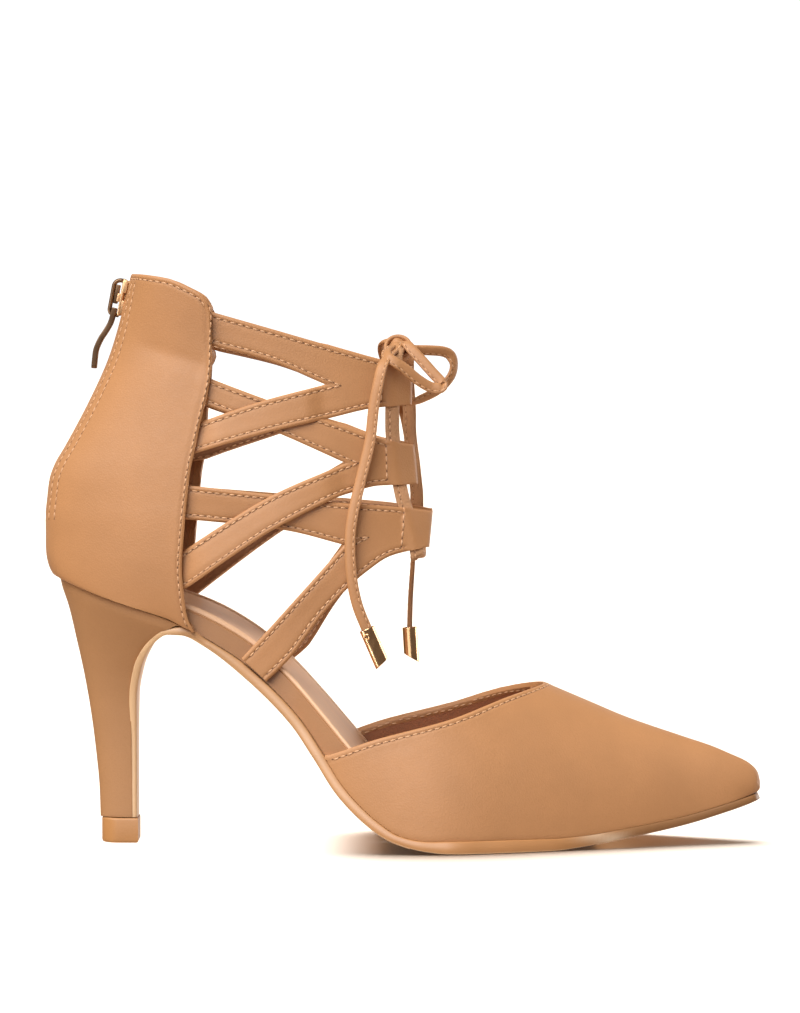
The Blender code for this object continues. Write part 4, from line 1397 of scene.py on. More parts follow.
def ankleHalf(x, z):
    wideX = ankleLine["wideX"](z)
    if x < wideX:
        share, power = (wideX - x) / (wideX - ankleLine["back"](z)), ankleSet["heelRound"]
    else:
        share, power = (x - wideX) / ankleLine["reach"](z), 2.0
    return ankleLine["half"](z) * max(1 - min(share, 1) ** power, 0) ** (1 / power)


def ankleTilt(x, z, side):
    step = 0.4
    slopeX = (ankleHalf(x + step, z) - ankleHalf(x - step, z)) / (2 * step)
    slopeZ = (ankleHalf(x, z + step) - ankleHalf(x, z - step)) / (2 * step)
    return Vector((-slopeX, side, -slopeZ))


def anklePoint(x, z, side, depth):
    half = ankleHalf(x, z) - depth * ankleTilt(x, z, side).length
    return Vector((x, side * half, z))


# the counter
counterSet = {
    "wall": 2.0,
    "edge": 0.3,
    "slot": 2.3,  # half the zip's opening
    "span": (89.3, 190.4),  # foot and top at the centre back
    "tall": 103.0,  # along the leather
    "belowZip": 16,  # rows of the sheet under the zip
    "zipFoot": 111.0,
    "zipRows": (6.4, 10.6),  # thread rows, from the opening's edge
    "rowFoot": 108.5,
    "tuck": 10.5,
    "seatWide": 24.3,
    "seatWideX": -80.0,
    "seatBackX": -115.8,
    "band": 2.6,
    "front": columns(
        "z x",
        (72.0, -69.0),
        (77.3, -71.3),
        (84.9, -72.3),
        (93.4, -72.9),
        (102.6, -72.3),
        (113.1, -71.4),
        (123.3, -70.3),
        (133.8, -68.3),
        (141.7, -66.6),
        (155.8, -63.6),
        (164.0, -63.1),
        (177.0, -63.2),
    ),
    "inside": columns(  # how far the medial front edge lies ahead of the lateral one
        "z x",
        (72.0, 0.0),
        (92.0, 1.2),
        (128.0, 1.4),
        (140.0, 0.0),
        (152.0, -1.6),
        (162.0, -1.9),
        (177.0, -1.2),
    ),
    "top": columns(
        "share z", (0.0, 190.4), (0.5, 188.5), (0.75, 185.6), (0.9, 183.1), (0.96, 180.6), (1.0, 176.9)
    ),
    "nearEdge": (0, 0.3, 0.6, 0.95, 1.3, 1.55, 1.7, 1.85, 2.1, 2.5, 3.1, 4.0),
    "middle": 30,
    "up": 62,
    "creases": (  # soft fold below the collar, on the lateral side: from, to, half its width and its depth
        {"from": (-88.0, 166.6), "to": (-65.0, 160.0), "wide": 5.5, "deep": 1.05},
        {"from": (-80.0, 164.0), "to": (-64.0, 158.2), "wide": 1.6, "deep": 0.16},
    ),
    "flare": {"from": 163.0, "to": 189.0, "out": 1.7},
}
counterFront = curveOf(counterSet["front"])
counterTop = curveOf(counterSet["top"])
counterInside = curveOf(counterSet["inside"])


def seatHalf(x):
    share = max(counterSet["seatWideX"] - x, 0) / (counterSet["seatWideX"] - counterSet["seatBackX"])
    power = ankleSet["heelRound"]
    return counterSet["seatWide"] * max(1 - share**power, 0) ** (1 / power)


def counterPoint(share, side, rise):
    footX = counterSet["seatBackX"] + (counterSet["front"]["x"][0] - counterSet["seatBackX"]) * share
    foot = Vector((footX, side * seatHalf(footX), bed(footX) + gap))
    z = foot.z + (counterTop(share) - foot.z) * rise

    def at(height):
        back = ankleLine["back"](height)
        front = counterFront(height) + (counterInside(height) if side > 0 else 0)
        x = back + (front - back) * share
        return Vector((x, side * ankleHalf(x, height), height))

    tuck = 1 - math.sqrt(max(1 - (1 - min((z - foot.z) / counterSet["tuck"], 1)) ** 2, 0))
    return at(z) + (foot - at(foot.z)) * tuck


def counterArc(side, rise):
    # the counter at one level, by distance from the centre back
    shares = [1 - math.cos(math.pi / 2 * t / 70) for t in range(71)]
    points = [counterPoint(share, side, rise) for share in shares]
    along = [0.0]
    for a, b in zip(points, points[1:]):
        along.append(along[-1] + (b - a).length)
    return along, shares


def counterAt(arc, side, rise, s):
    along, shares = arc
    return counterPoint(float(np.interp(s, along, shares)), side, rise)


def counterColumns(whole):
    slot = counterSet["slot"]
    fromSlot = [0, 0.3, 0.6, 0.95, 1.3, 1.8, 2.4]
    for row in counterSet["zipRows"]:
        fromSlot += [row - 0.7, row - 0.35, row, row + 0.35, row + 0.7, row + 1.6]
    start = [0, slot / 2] + [slot + d for d in fromSlot]
    end = [whole - d for d in reversed(counterSet["nearEdge"])]
    steps = counterSet["middle"]
    between = end[0] - start[-1]
    return start + [start[-1] + between * (i + 1) / (steps + 1) for i in range(steps)] + end


def counterRises():
    low, high = counterSet["span"]
    below = counterSet["belowZip"]
    foot = (counterSet["zipFoot"] - low) / (high - low)
    top = [1 - d / counterSet["tall"] for d in counterSet["nearEdge"]]
    lower = [foot * (i / below) ** 1.1 for i in range(below)]
    upper = list(np.linspace(foot, top[-1], counterSet["up"] - below, endpoint=False))
    return lower + [float(r) for r in upper] + top[::-1]


def creaseDepth(point):
    push = 0
    for crease in counterSet["creases"]:
        a, b = Vector(crease["from"]), Vector(crease["to"])
        p = Vector((point.x, point.z))
        along = (b - a).normalized()
        share = (p - a).dot(along) / (b - a).length
        off = (p - a).dot(Vector((-along.y, along.x)))
        fade = easeIn(share, -0.25, 0.3) * (1 - easeIn(share, 0.9, 1.1))
        push -= crease["deep"] * fade * math.exp(-abs(off) / crease["wide"])
    flare = counterSet["flare"]
    side = easeIn(abs(point.y), 8, 20)
    out = flare["out"] * easeIn(point.z, flare["from"], flare["to"]) * side
    return out + (push * side if point.y < 0 else push * side * 0.5)


def makeCounter():
    rises = counterRises()
    arcs = {(side, j): counterArc(side, rise) for side in (-1, 1) for j, rise in enumerate(rises)}
    cols = {key: counterColumns(arc[0][-1]) for key, arc in arcs.items()}
    half = len(cols[(1, 0)]) - 1

    def place(i, j):
        side = -1 if i < half else 1
        return counterAt(arcs[(side, j)], side, rises[j], cols[(side, j)][abs(i - half)])

    bm = gridSheet(2 * half, len(rises) - 1, place)
    faceOut(bm, lambda centre: Vector((-80 * mm, 0, centre.z)))
    slot = []
    for face in bm.faces:
        centre = face.calc_center_median() / mm
        if abs(centre.y) < counterSet["slot"] * 0.95 and centre.z > counterSet["zipFoot"] and centre.x < -85:
            slot.append(face)
    bmesh.ops.delete(bm, geom=slot, context="FACES")
    edges, routes, rows = [], [], newRows()
    slotEdge, sew = counterSet["slot"], seamSet["from edge"]
    seamRise = 1 - sew / counterSet["tall"]
    fine = [float(r) for r in np.linspace(0, 1, 240)]
    for side in (-1, 1):
        levels = [(rise, counterArc(side, rise)) for rise in fine]
        top = counterArc(side, 1.0)
        edges += [counterAt(top, side, 1.0, s) for s in np.linspace(0, top[0][-1], 320)]
        edges += [counterAt(arc, side, rise, arc[0][-1]) for rise, arc in levels]
        row = counterArc(side, seamRise)
        over = [counterAt(row, side, seamRise, s) for s in np.linspace(slotEdge + 0.8, row[0][-1] - sew, 90)]
        down = [
            counterAt(arc, side, rise, arc[0][-1] - sew)
            for rise, arc in reversed(levels)
            if 0.015 < rise < seamRise - 0.004
        ]
        routes.append(over + down)
        for off in counterSet["zipRows"]:
            under = [level for level in levels if level[0] < seamRise - 0.01]
            beside = [counterAt(arc, side, rise, slotEdge + off) for rise, arc in under]
            routes.append([p for p in beside if p.z > counterSet["rowFoot"]])
        opening = [counterAt(arc, side, rise, slotEdge) for rise, arc in levels]
        edges += [p for p in opening if p.z > counterSet["zipFoot"]]
    zipRows = treeOf([p for i, route in enumerate(routes) if i % 3 for p in resample(route, 0.3)])

    def extra(point, away):
        row = zipRows.find(point * mm)[2] / mm
        return creaseDepth(point) - 0.16 * hump(row, 0, 0.36) + 0.04 * hump(row, 0.9, 0.5)

    tree = pressRelief(bm, edges, extra)
    markBand(bm, tree, counterSet["band"])
    surface = BVHTree.FromBMesh(bm)
    for route in routes:
        sewRow(rows, surface, route)
    leatherShell(bm, "counter_leather", "counter", "strapLining", counterSet["wall"], counterSet["edge"])
    sewn(rows, "counter_stitches")


makeCounter()
print("counter made")


# the ankle straps
strapSet = {
    "thick": 1.5,
    "tabThick": 0.72,
    "edge": 0.28,
    "bury": 0.3,
    "solidThick": 1.6,
    "lap": 0.7,
    "depth": 2.3,  # under the counter's outer face
    "forkRow": 3,
    "seamPoint": {"low": 8.6},  # how far past the fork the inner rows meet
    "fold": 11.5,  # the tab's end is turned in by this much and sewn down
    "curl": 0.75,
    "soleArm": ("low", "low"),
    "lifted": ("top", "middle"),
    "lift": columns("row share", (0.0, 0.0), (1.0, 0.0), (1.35, 1.0), (2.65, 1.0), (3.0, 0.0), (5.0, 0.0)),
    "tilt": {  # the arms lean in or out between the counter and the fork
        ("top", "low"): 0.7,
        ("middle", "low"): 1.9,
        ("low", "up"): -1.6,
        ("top", "up"): -0.4,
        ("middle", "up"): -0.3,
    },
    "medial": {  # the medial arms lie further forward and higher by this much
        ("top", "up"): (0.0, -2.3),
        ("top", "low"): (0.0, -4.2),
        ("middle", "up"): (0.0, -2.5),
        ("middle", "low"): (0.0, -7.0),
        ("low", "up"): (0.0, -2.8),
        ("low", "low"): (5.0, 0.0),
    },
    "nearEdge": (0, 0.3, 0.6, 0.95, 1.3, 1.55, 1.7, 1.85, 2.1, 2.6),
}
strapHeader = "upTopX upTopZ upLowX upLowZ lowTopX lowTopZ lowLowX lowLowZ"
strapRows = {
    "top": columns(
        strapHeader,
        (-71.0, 179.7, -71.0, 168.7, -75.0, 138.4, -75.0, 128.6),
        (-62.9, 177.4, -62.9, 166.4, -66.8, 141.4, -66.8, 131.6),
        (-43.5, 171.9, -44.0, 161.2, -46.3, 148.3, -43.5, 138.2),
        (-25.8, 166.8, -25.8, 153.6, -25.8, 153.6, -25.8, 142.2),
        (-8.5, 162.0, -9.0, 153.4, -9.0, 153.4, -9.5, 145.8),
        (2.8, 159.4, 2.8, 153.2, 2.8, 153.2, 2.6, 146.8),
    ),
    "middle": columns(
        strapHeader,
        (-72.0, 158.7, -73.6, 150.2, -76.2, 96.4, -76.2, 84.6),
        (-63.9, 155.7, -65.6, 147.0, -71.8, 99.5, -71.8, 86.7),
        (-45.2, 148.7, -41.6, 137.8, -43.9, 117.0, -42.7, 106.1),
        (-19.4, 139.9, -19.1, 127.7, -19.1, 127.7, -18.8, 117.5),
        (-7.6, 135.6, -7.4, 127.2, -7.4, 127.2, -7.2, 120.2),
        (3.4, 133.4, 4.1, 127.0, 4.1, 127.0, 4.7, 120.4),
    ),
    "low": columns(
        strapHeader,
        (-78.5, 121.4, -79.0, 109.4, -53.5, 63.4, -45.3, 55.7),
        (-70.4, 120.5, -71.2, 109.2, -45.3, 72.2, -37.0, 64.0),
        (-43.9, 117.6, -39.7, 105.8, -34.3, 84.4, -26.2, 78.2),
        (-20.4, 114.6, -19.6, 100.8, -19.6, 100.8, -12.6, 91.6),
        (-3.0, 113.2, -3.4, 105.6, -3.4, 105.6, -3.6, 97.2),
        (9.6, 111.3, 9.0, 105.4, 9.0, 105.4, 8.4, 99.7),
    ),
}
strapLift = curveOf(strapSet["lift"])
laceRunRows = columns(
    "z x",
    (162.4, -2.6),
    (153.0, -3.6),
    (140.0, -3.8),
    (127.0, -2.4),
    (116.0, -0.4),
    (105.5, 3.0),
    (97.2, 4.6),
)
laceX = curveOf(laceRunRows)
medialLaceRows = columns(  # how far the medial run lies ahead of the lateral one
    "z shift",
    (97.0, 0.6),
    (106.0, 1.8),
    (118.0, 5.2),
    (128.0, 5.8),
    (142.0, 5.8),
    (153.0, 5.0),
    (165.0, 3.5),
)
medialLaceShift = curveOf(medialLaceRows)


def strapEdge(column, values):
    fork = strapSet["forkRow"]
    if not column.startswith(("upLow", "lowTop")):
        return smoothLine(range(len(values)), values)
    arm = smoothLine(range(fork + 1), values[: fork + 1])
    tab = smoothLine(range(fork, len(values)), values[fork:])
    return lambda row: arm(row) if row < fork else tab(row)


class Strap:
    # one Y-shaped strap of one side, from the counter over its fork to the folded tab

    def __init__(self, name, side):
        self.name, self.side = name, side
        self.edge = {column: strapEdge(column, values) for column, values in strapRows[name].items()}
        self.last = len(strapRows[name]["upTopX"]) - 1

    def ends(self, arm, row):
        found = []
        shiftX, shiftZ = strapSet["medial"][self.name, arm] if self.side > 0 else (0, 0)
        fade = max(1 - (row / strapSet["forkRow"]) ** 2, 0) * (1 + min(row, 1)) / 2
        for rim in ("Top", "Low"):
            x, z = self.edge[f"{arm}{rim}X"](row), self.edge[f"{arm}{rim}Z"](row)
            found.append(Vector((x + shiftX * fade, z + shiftZ * fade)))
        return found

    def depth(self, arm, row):
        lift = strapLift(row) if arm == "low" and self.name in strapSet["lifted"] else 0
        depth = strapSet["depth"] - lift * (strapSet["solidThick"] - strapSet["bury"])
        if (self.name, arm) != strapSet["soleArm"]:
            depth += strapSet["lap"] * max(1 - row, 0)
        return depth

    def place(self, arm, row, share, deeper=0.0, forward=0.0):
        first, second = self.ends(arm, row)
        x, z = first.lerp(second, share)
        lean = strapSet["tilt"].get((self.name, arm), 0)
        lean *= math.sin(math.pi * min(row / strapSet["forkRow"], 1)) ** 2
        return anklePoint(x + forward, z, self.side, self.depth(arm, row) + deeper - lean * (share - 0.35))

    def width(self, arm, row):
        return (self.place(arm, row, 1) - self.place(arm, row, 0)).length

    def atDistance(self, arm, row, away, rim, deeper=0.0):
        # a point this far from one edge of an arm
        share = away / self.width(arm, row)
        return self.place(arm, row, share if rim == "Top" else 1 - share, deeper)

    def laceSwell(self, point):
        # the tab swells over the lace in its fold
        shift = medialLaceShift(point.z) if self.side > 0 else 0
        return 0.5 * hump(point.x, laceX(point.z) + shift, 2.6)


def tabStations(strap):
    # rows of the sheet: the arms, the tab, the curl at its end and the part turned in
    fork, last = strapSet["forkRow"], strap.last
    tabLength = (strap.place("up", last, 0.5) - strap.place("up", last - 1, 0.5)).length
    perRow = 1 / tabLength
    endRow = last - strapSet["curl"] * perRow
    foldRow = last - strapSet["fold"] * perRow
    arms = np.linspace(0, fork, 44, endpoint=False)
    past = np.linspace(fork, foldRow, 12, endpoint=False)
    tab = np.linspace(foldRow, endRow, 22)
    stations = [(float(r), 0.0, 0.0) for r in np.concatenate([arms, past, tab])]
    radius = strapSet["curl"]
    for i in range(1, 8):
        turn = math.pi * i / 8
        stations.append((endRow, radius * (1 - math.cos(turn)), radius * math.sin(turn)))
    for r in np.linspace(endRow, foldRow + 0.35 * perRow, 18):
        stations.append((float(r), 2 * radius, 0.0))
    return stations, foldRow


def strapAcross(width):
    near = strapSet["nearEdge"]
    inner = [near[-1] + (width - 2 * near[-1]) * (i + 1) / 4 for i in range(3)]
    return [d / width for d in list(near) + inner + [width - d for d in reversed(near)]]


def strapSheet(strap):
    stations, foldRow = tabStations(strap)
    bm = bmesh.new()
    count = len(strapAcross(10)) - 1
    for arm in ("up", "low"):

        def place(i, j):
            row, deeper, forward = stations[j]
            share = strapAcross(strap.width(arm, row))[i]
            point = strap.place(arm, row, share, deeper, forward)
            if row > foldRow:
                swell = strap.laceSwell(point)
                turned = 1 if deeper > strapSet["curl"] else -1
                point = strap.place(arm, row, share, deeper + swell * turned, forward)
            return point

        joinInto(bm, gridSheet(count, len(stations) - 1, place))
    weld(bm, 0.01)
    faceOut(bm, lambda centre: Vector((centre.x, 0, centre.z)))
    return bm, foldRow


def strapEdges(strap):
    fork = strapSet["forkRow"]
    edges = []
    for r in np.linspace(0, strap.last, 420):
        edges.append(strap.place("up", r, 0))
        edges.append(strap.place("low", r, 1))
        if r < fork:
            edges.append(strap.place("up", r, 1))
            edges.append(strap.place("low", r, 0))
    edges.append(strap.place("up", fork, 1))
    return edges


def strapSeams(strap, foldRow):
    # thread rows: both edges of each arm, closing in a point past the fork, and one across the tab
    fork, away = strapSet["forkRow"], seamSet["from edge"]
    routes = []
    first = {arm: 0.18 if (strap.name, arm) == strapSet["soleArm"] else 0.2 for arm in ("up", "low")}
    for arm, rim in (("up", "Top"), ("low", "Low")):
        rows = np.linspace(first[arm], foldRow, 160)
        routes.append([strap.atDistance(arm, float(r), away, rim) for r in rows])
    inner = {}
    for arm, rim in (("up", "Low"), ("low", "Top")):
        rows = np.linspace(first[arm], fork - 0.02, 140)
        inner[arm] = [strap.atDistance(arm, float(r), away, rim) for r in rows]
    corner = strap.place("up", fork, 1)
    ahead = [(inner[arm][-1] - inner[arm][-12]).normalized() for arm in ("up", "low")]
    middle = (ahead[0] + ahead[1]).normalized()
    opening = max(ahead[0].angle(ahead[1]) / 2, 0.2)
    reach = strapSet["seamPoint"].get(strap.name, min(away / math.sin(opening), 5.2))
    meet = corner + middle * reach
    for arm in ("up", "low"):
        routes.append([p for p in inner[arm] if (p - meet).dot(middle) < -0.4] + [meet])
    across = []
    for arm in ("up", "low"):
        for share in np.linspace(0, 1, 12):
            across.append(strap.place(arm, foldRow + 0.02, float(share)))
    routes.append([p for p in across if (p - across[0]).length > away and (p - across[-1]).length > away])
    return routes


def makeStraps(name, node, side):
    whole = bmesh.new()
    rows = newRows()
    for strapName in strapRows:
        strap = Strap(strapName, side)
        bm, foldRow = strapSheet(strap)
        thin = strapSet["tabThick"] / strapSet["thick"]
        foldAt = strap.place("up", foldRow, 0.5).x
        pressRelief(bm, strapEdges(strap), None, lambda p: easeIn(p.x, foldAt + 0.4, foldAt + 2.0))
        layer = bm.verts.layers.deform.verify()
        for vert in bm.verts:
            over = vert.co.x / mm - foldAt
            vert[layer][0] = 1.0 if over < 0 else max(thin, 1 - over / 0.8 * (1 - thin))
        for face in bm.faces:
            face.material_index = 1 if face.calc_center_median().x / mm > foldAt else 0
        surface = BVHTree.FromBMesh(bm)
        for route in strapSeams(strap, foldRow):
            sewRow(rows, surface, route)
            if side > 0:
                sewRow(rows, surface, route, inside=strapSet["thick"] - 0.1)
        joinInto(whole, bm)
    leatherShell(whole, name, node, "strapLining", strapSet["thick"], strapSet["edge"], "thick")
    sewn(rows, name + "_stitches")


makeStraps("straps_outer_leather", "ankle_straps_outer", -1)
makeStraps("straps_inner_leather", "ankle_straps_inner", 1)
print("straps made")


# the lace's run through the tabs, its turn under the lowest pair, and its way up to the knot
laceRunSet = {
    "steps": 90,
    "byKnot": ((-2.0, 5.6, 165.3), (-2.5, 8.2, 164.2)),  # on the medial side, and mirrored
    "knotFlat": (0.0, 0.3, 1.0),
    "turnSteps": 22,
    "turnDrop": 1.0,
    "spread": 1.4,  # wider than the free lace
}


def laceSide(side):
    # one side's run, from the knot down to the lowest tab, with the way that its flat faces
    mirror = Matrix.Diagonal((1, side, 1))
    flat = (mirror @ Vector(laceRunSet["knotFlat"])).normalized()
    run = [(mirror @ Vector(place), flat) for place in laceRunSet["byKnot"]]
    for z in np.linspace(laceRunRows["z"][0], laceRunRows["z"][-1], laceRunSet["steps"]):
        z = float(z)
        x = laceX(z) + (medialLaceShift(z) if side > 0 else 0)
        depth = strapSet["depth"] + strapSet["curl"]
        run.append((anklePoint(x, z, side, depth), ankleTilt(x, z, side).normalized()))
    return run


def makeLaceRun():
    lateral, medial = laceSide(-1), laceSide(1)
    (low, lowFlat), (high, highFlat) = lateral[-1], medial[-1]
    turn = []
    for i in range(1, laceRunSet["turnSteps"]):
        share = i / laceRunSet["turnSteps"]
        bend = math.sin(math.pi * share)
        point = low.lerp(high, (1 - math.cos(math.pi * share)) / 2)
        point.z -= laceRunSet["turnDrop"] * bend**0.5
        sides = lowFlat.lerp(highFlat, share) * (1 - bend)
        turn.append((point, (sides + Vector((0, 0, -bend))).normalized()))
    points, flats = zip(*lateral, *turn, *reversed(medial))
    # the run in the tabs takes the lace's back side, darkened as painted shade
    makeStrip("lace_run", points, flats, 1, ["lace"], "laceBackAndShade", laceRunSet["spread"])


makeLaceRun()
sewn(laceRows, "lace_stitches")
print("lace made")


# the zip at the centre back
zipSet = {
    "foot": 111.0,
    "head": 188.0,
    "inset": 0.6,
    "thick": 0.6,
    "half": 3.4,
    "tapeDeep": 0.5,  # ahead of the inset
    "tapeBelow": 1.4,  # held in the leather under the zip's foot
    "tooth": (0.42, 1.15, 0.42),
    "toothDeep": 0.35,
    "toothSide": 0.55,
    "toothFirst": 1.5,
    "pitch": 1.2,
    "pivot": (-96.7, 0.0, 178.4),
    "lean": 10.6,
}


def turned(point, lean, centre):
    angle = math.radians(lean)
    x, y, z = point
    return Vector(centre) + Vector(
        (x * math.cos(angle) + z * math.sin(angle), y, z * math.cos(angle) - x * math.sin(angle))
    )


def makeZip():
    heights = [float(z) for z in np.linspace(zipSet["foot"] - zipSet["tapeBelow"], zipSet["head"], 90)]
    half, thick = zipSet["half"], zipSet["thick"]
    rings = []
    for z in heights:
        back = ankleLine["back"](z) + zipSet["inset"] + zipSet["tapeDeep"]
        rings.append([(back, -half, z), (back, half, z), (back + thick, half, z), (back + thick, -half, z)])
    finishPiece(loft(rings), "zip_tape_strip", [finishes["tape"]], ["zip"], sharp=45)
    teeth = bmesh.new()
    count = int((zipSet["head"] - zipSet["foot"] - 2) / zipSet["pitch"])
    tooth = bmesh.new()
    bmesh.ops.create_uvsphere(tooth, u_segments=8, v_segments=5, radius=1)
    bmesh.ops.scale(tooth, verts=tooth.verts, vec=Vector(zipSet["tooth"]) * mm)
    part = bpy.data.meshes.new("tooth")
    tooth.to_mesh(part)
    tooth.free()
    for i in range(count):
        z = zipSet["foot"] + zipSet["toothFirst"] + i * zipSet["pitch"]
        for side in (-1, 1):
            before = len(teeth.verts)
            teeth.from_mesh(part)
            teeth.verts.ensure_lookup_table()
            height = z + (0.5 * zipSet["pitch"] if side > 0 else 0)
            back = ankleLine["back"](height) + zipSet["inset"] + zipSet["toothDeep"]
            place = Vector((back, side * zipSet["toothSide"], height)) * mm
            bmesh.ops.translate(teeth, verts=teeth.verts[before:], vec=place)
    bpy.data.meshes.remove(part)
    finishPiece(teeth, "zip_teeth", [finishes["tape"]])


def plateSolid(size, centre, corner):
    # a metal block with rounded edges, leaning with the zip
    bm = bmesh.new()
    bmesh.ops.create_cube(bm, size=1)
    bmesh.ops.scale(bm, verts=bm.verts, vec=Vector(size))
    bmesh.ops.bevel(
        bm,
        geom=bm.edges[:],
        offset=corner,
        segments=3,
        profile=0.5,
        affect="EDGES",
        material=-1,
        clamp_overlap=True,
    )
    for vert in bm.verts:
        vert.co = turned(vert.co + Vector(centre), zipSet["lean"], zipSet["pivot"]) * mm
    return bm


sliderSet = {
    "hole": 1.15,
    "rim": 1.0,
    "stand": 1.7,  # from the pull's bar to the plate's middle
    "tall": 10.0,
    "corner": 2.2,
    "blocks": (  # size, middle, rounding
        ((1.1, 7.0, 12.4), (1.8, 0, 4.4), 0.45),
        ((2.4, 4.2, 11.4), (3.1, 0, 4.4), 0.3),
        ((1.5, 0.9, 4.6), (2.4, -3.0, 1.2), 0.25),
        ((1.5, 0.9, 4.2), (2.4, -3.2, 8.2), 0.25),
        ((1.5, 0.9, 4.6), (2.4, 3.0, 1.2), 0.25),
        ((1.5, 0.9, 4.2), (2.4, 3.2, 8.2), 0.25),
        ((1.3, 2.0, 2.8), (0.75, 0, 4.2), 0.3),
    ),
    "tongue": ((1.7, 1.5, 6.4), (-0.2, 0, 5.2), 0.4),
}


def makeSlider():
    rim, stand = sliderSet["rim"], sliderSet["stand"]
    whole = bmesh.new()
    for block in sliderSet["blocks"]:
        joinInto(whole, plateSolid(*block))
    finishPiece(whole, "slider_body", [finishes["sliderGold"]], ["zip_slider"], sharp=40)
    reach, tall, corner = sliderSet["hole"] + rim / 2, sliderSet["tall"], sliderSet["corner"]
    route = [(stand, -reach)]
    for i in range(9):
        turn = math.pi / 2 * i / 8
        route.append((-reach * math.sin(turn), -reach * math.cos(turn)))
    for i in range(9):
        turn = math.pi / 2 * i / 8
        route.append((corner * (1 - math.cos(turn)) - reach, tall - corner + corner * math.sin(turn)))
    route.append((stand, tall))
    rings = []
    for i, (x, z) in enumerate(route):
        ahead = Vector(route[min(i + 1, len(route) - 1)]) - Vector(route[max(i - 1, 0)])
        ahead.normalize()
        ring = []
        for k in range(12):
            turn = 2 * math.pi * k / 12
            out, y = math.cos(turn) * rim * 0.72, math.sin(turn) * 1.3
            ring.append(turned((x - ahead.y * out, y, z + ahead.x * out), zipSet["lean"], zipSet["pivot"]))
        rings.append(ring)
    bridge = loft(rings)
    joinInto(bridge, plateSolid(*sliderSet["tongue"]))
    finishPiece(bridge, "slider_bridge", [finishes["bronze"]])


pullSet = {
    "width": 5.0,
    "thick": 1.7,
    "bar": 0.55,
    "window": 3.0,
    "leg": 1.2,
    "route": (  # forward and up from the bar
        (0.1, 0.6),
        (-0.45, -1.6),
        (-1.3, -4.4),
        (-2.9, -7.2),
        (-4.6, -9.8),
        (-6.1, -13.2),
        (-6.6, -16.4),
        (-6.9, -19.6),
    ),
}


def makePull():
    half, leg = pullSet["width"] / 2, pullSet["leg"]
    pivot = Vector(zipSet["pivot"])
    route = throughPoints([pivot + Vector((x, 0, z)) for x, z in pullSet["route"]], 0.3)
    acrosses = [-half, -half + leg / 2, -half + leg, -0.4, 0.4, half - leg, half - leg / 2, half]
    last = len(route) - 1

    def place(i, j):
        down = lengthOf(route[: j + 1])
        narrow = 1 - 0.1 * hump(down, 6.0, 3.0) - 0.25 * max((j - last + 3) / 3, 0) ** 2
        return route[j] + Vector((0, acrosses[i] * narrow, 0))

    bm = gridSheet(len(acrosses) - 1, last, place)
    opening = []
    for face in bm.faces:
        centre = face.calc_center_median() / mm
        below = pivot.z - centre.z
        if abs(centre.y) < half - leg and pullSet["bar"] < below < pullSet["window"]:
            opening.append(face)
    bmesh.ops.delete(bm, geom=opening, context="FACES")
    faceOut(bm, lambda centre: centre + Vector((1, 0, 0)))
    piece = finishPiece(bm, "pull_tab", [finishes["bronze"]], ["zip_pull"], "pull", 50)
    solidify = piece.modifiers.new("thickness", "SOLIDIFY")
    solidify.thickness = pullSet["thick"] * mm
    solidify.offset = 0
    addBevel(piece, 0.45, 4, 40)


makeZip()
makeSlider()
makePull()
print("zip made")


# stage, light and view
stageSet = {
    "floor": {"size": 8.0, "front": -0.6},
    "floorColour": (0.93, 0.84, 0.74),
    "worldDim": (0.18, 0.148, 0.125),
    "worldLow": (1.7, 1.4, 1.1),  # what the pale floor throws back
    "worldTop": (0.34, 0.31, 0.28),
    "worldBright": (1.15, 1.15, 1.15),  # only behind the shoe, where the photo's backdrop is blown out
    "key": {"turn": 236.0, "up": 47.0, "spread": 56.0, "power": 5.35},
    "sheen": {"turn": 261.0, "up": 16.0, "spread": 34.0, "power": 2.5},
    "rim": {"turn": 32.0, "up": 5.0, "spread": 40.0, "power": 2.0},
    "glint": {"turn": 194.0, "up": -14.0, "spread": 22.0, "power": 2.2},
    "glintFar": {"turn": 238.0, "up": -4.0, "spread": 54.0, "power": 1.1},
    "overhead": {"turn": 114.0, "up": 66.0, "spread": 42.0, "power": 5.4},
    "metal": ("aglet_near_tube", "aglet_far_tube", "slider_body", "slider_bridge", "pull_tab"),
    "glintOn": ("aglet_near_tube", "aglet_far_tube", "slider_body", "slider_bridge"),
    "glintFarOn": ("aglet_far_tube",),
    "overheadBlockers": ("vamp_leather",),
}


def addSun(name, setting):
    turn, up = math.radians(setting["turn"]), math.radians(setting["up"])
    towards = Vector((math.cos(up) * math.cos(turn), math.cos(up) * math.sin(turn), math.sin(up)))
    light = bpy.data.lights.new(name, "SUN")
    light.energy = setting["power"]
    light.angle = math.radians(setting["spread"])
    lamp = bpy.data.objects.new(name, light)
    lamp.location = towards * 2
    lamp.rotation_euler = (-towards).to_track_quat("-Z", "Y").to_euler()
    scene.collection.objects.link(lamp)
    return lamp


def group(name, members, state="INCLUDE"):
    # what a lamp lights or leaves out
    made = bpy.data.collections.new(name)
    for i, member in enumerate(members):
        made.objects.link(member)
        made.collection_objects[i].light_linking.link_state = state
    return made


def madePieces(key):
    return [bpy.data.objects[name] for name in stageSet[key]]


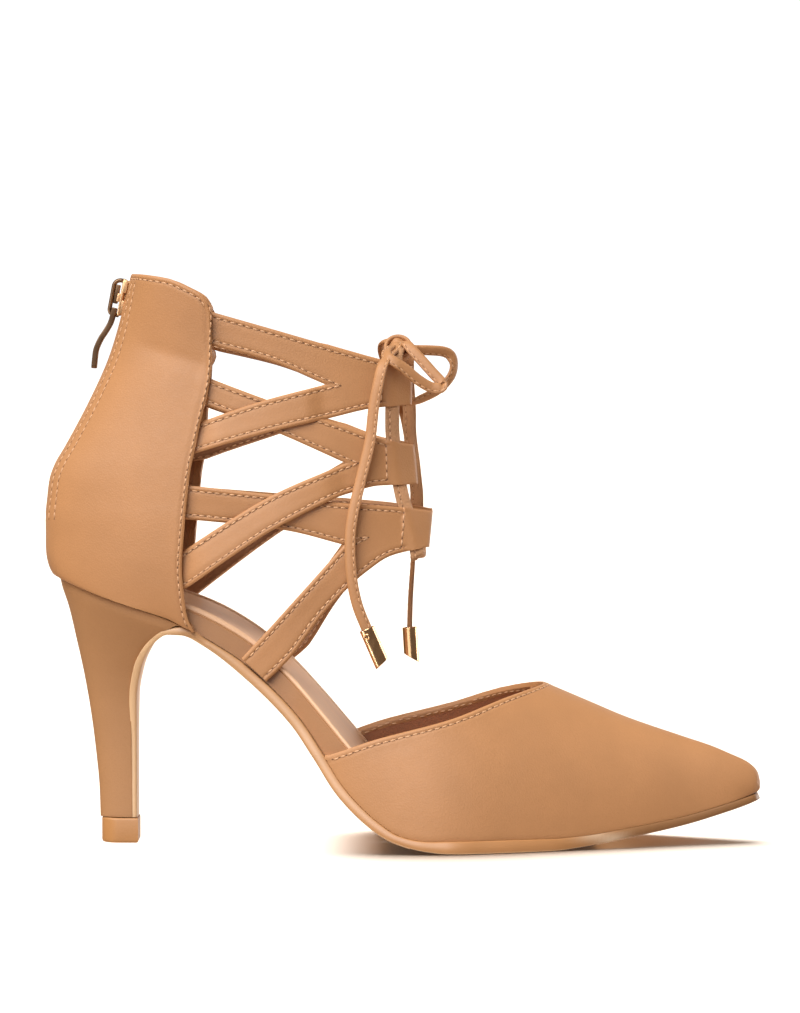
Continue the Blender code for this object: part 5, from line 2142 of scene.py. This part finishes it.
def makeStage():
    bm = bmesh.new()
    reach = stageSet["floor"]["size"]
    bmesh.ops.create_grid(bm, x_segments=2, y_segments=2, size=reach)
    bmesh.ops.translate(bm, verts=bm.verts, vec=(0, reach + stageSet["floor"]["front"], 0))
    mesh = bpy.data.meshes.new("floor")
    bm.to_mesh(mesh)
    bm.free()
    material, _, shader = newMaterial("floor", stageSet["floorColour"], 0.9)
    shader.inputs["Specular IOR Level"].default_value = 0.1
    mesh.materials.append(material)
    floor = bpy.data.objects.new("floor", mesh)
    scene.collection.objects.link(floor)
    floor.visible_diffuse = False  # the backdrop's glare doesn't fill the shoe's shaded side
    floor.visible_glossy = False
    floor.visible_shadow = False
    world = bpy.data.worlds.new("studio")
    world.use_nodes = True
    scene.world = world
    tree = world.node_tree
    coords = tree.nodes.new("ShaderNodeTexCoord")
    split = tree.nodes.new("ShaderNodeSeparateXYZ")
    tree.links.new(coords.outputs["Generated"], split.inputs["Vector"])
    behind = ramp(tree, split.outputs["Y"], 0, 1, 0.75, 0.95)
    above = ramp(tree, split.outputs["Z"], 0, 1, 0.55, 0.95)
    below = ramp(tree, split.outputs["Z"], 1, 0, -0.85, -0.45)
    tone = mixColour(tree, above, stageSet["worldDim"], stageSet["worldTop"])
    tone = mixColour(tree, below, tone, stageSet["worldLow"])
    tone = mixColour(tree, behind, tone, stageSet["worldBright"])
    tree.links.new(tone, tree.nodes["Background"].inputs["Color"])
    notFloor = group("all but the floor", [floor], "EXCLUDE")
    for name in ("key", "rim"):
        addSun(name, stageSet[name]).light_linking.receiver_collection = notFloor
    sheen = addSun("sheen", stageSet["sheen"])
    sheen.visible_diffuse = False
    sheen.light_linking.receiver_collection = group("leather", [floor] + madePieces("metal"), "EXCLUDE")
    glint = addSun("glint", stageSet["glint"])
    glint.light_linking.receiver_collection = group("shiny metal", madePieces("glintOn"))
    glintFar = addSun("glint on the far tip", stageSet["glintFar"])
    glintFar.light_linking.receiver_collection = group("far tip", madePieces("glintFarOn"))
    overhead = addSun("overhead", stageSet["overhead"])
    overhead.light_linking.receiver_collection = group("floor only", [floor])
    blockers = group("what stands on the floor", madePieces("overheadBlockers"))
    overhead.light_linking.blocker_collection = blockers
    scene.view_settings.view_transform = "Standard"


makeStage()
print("stage made")
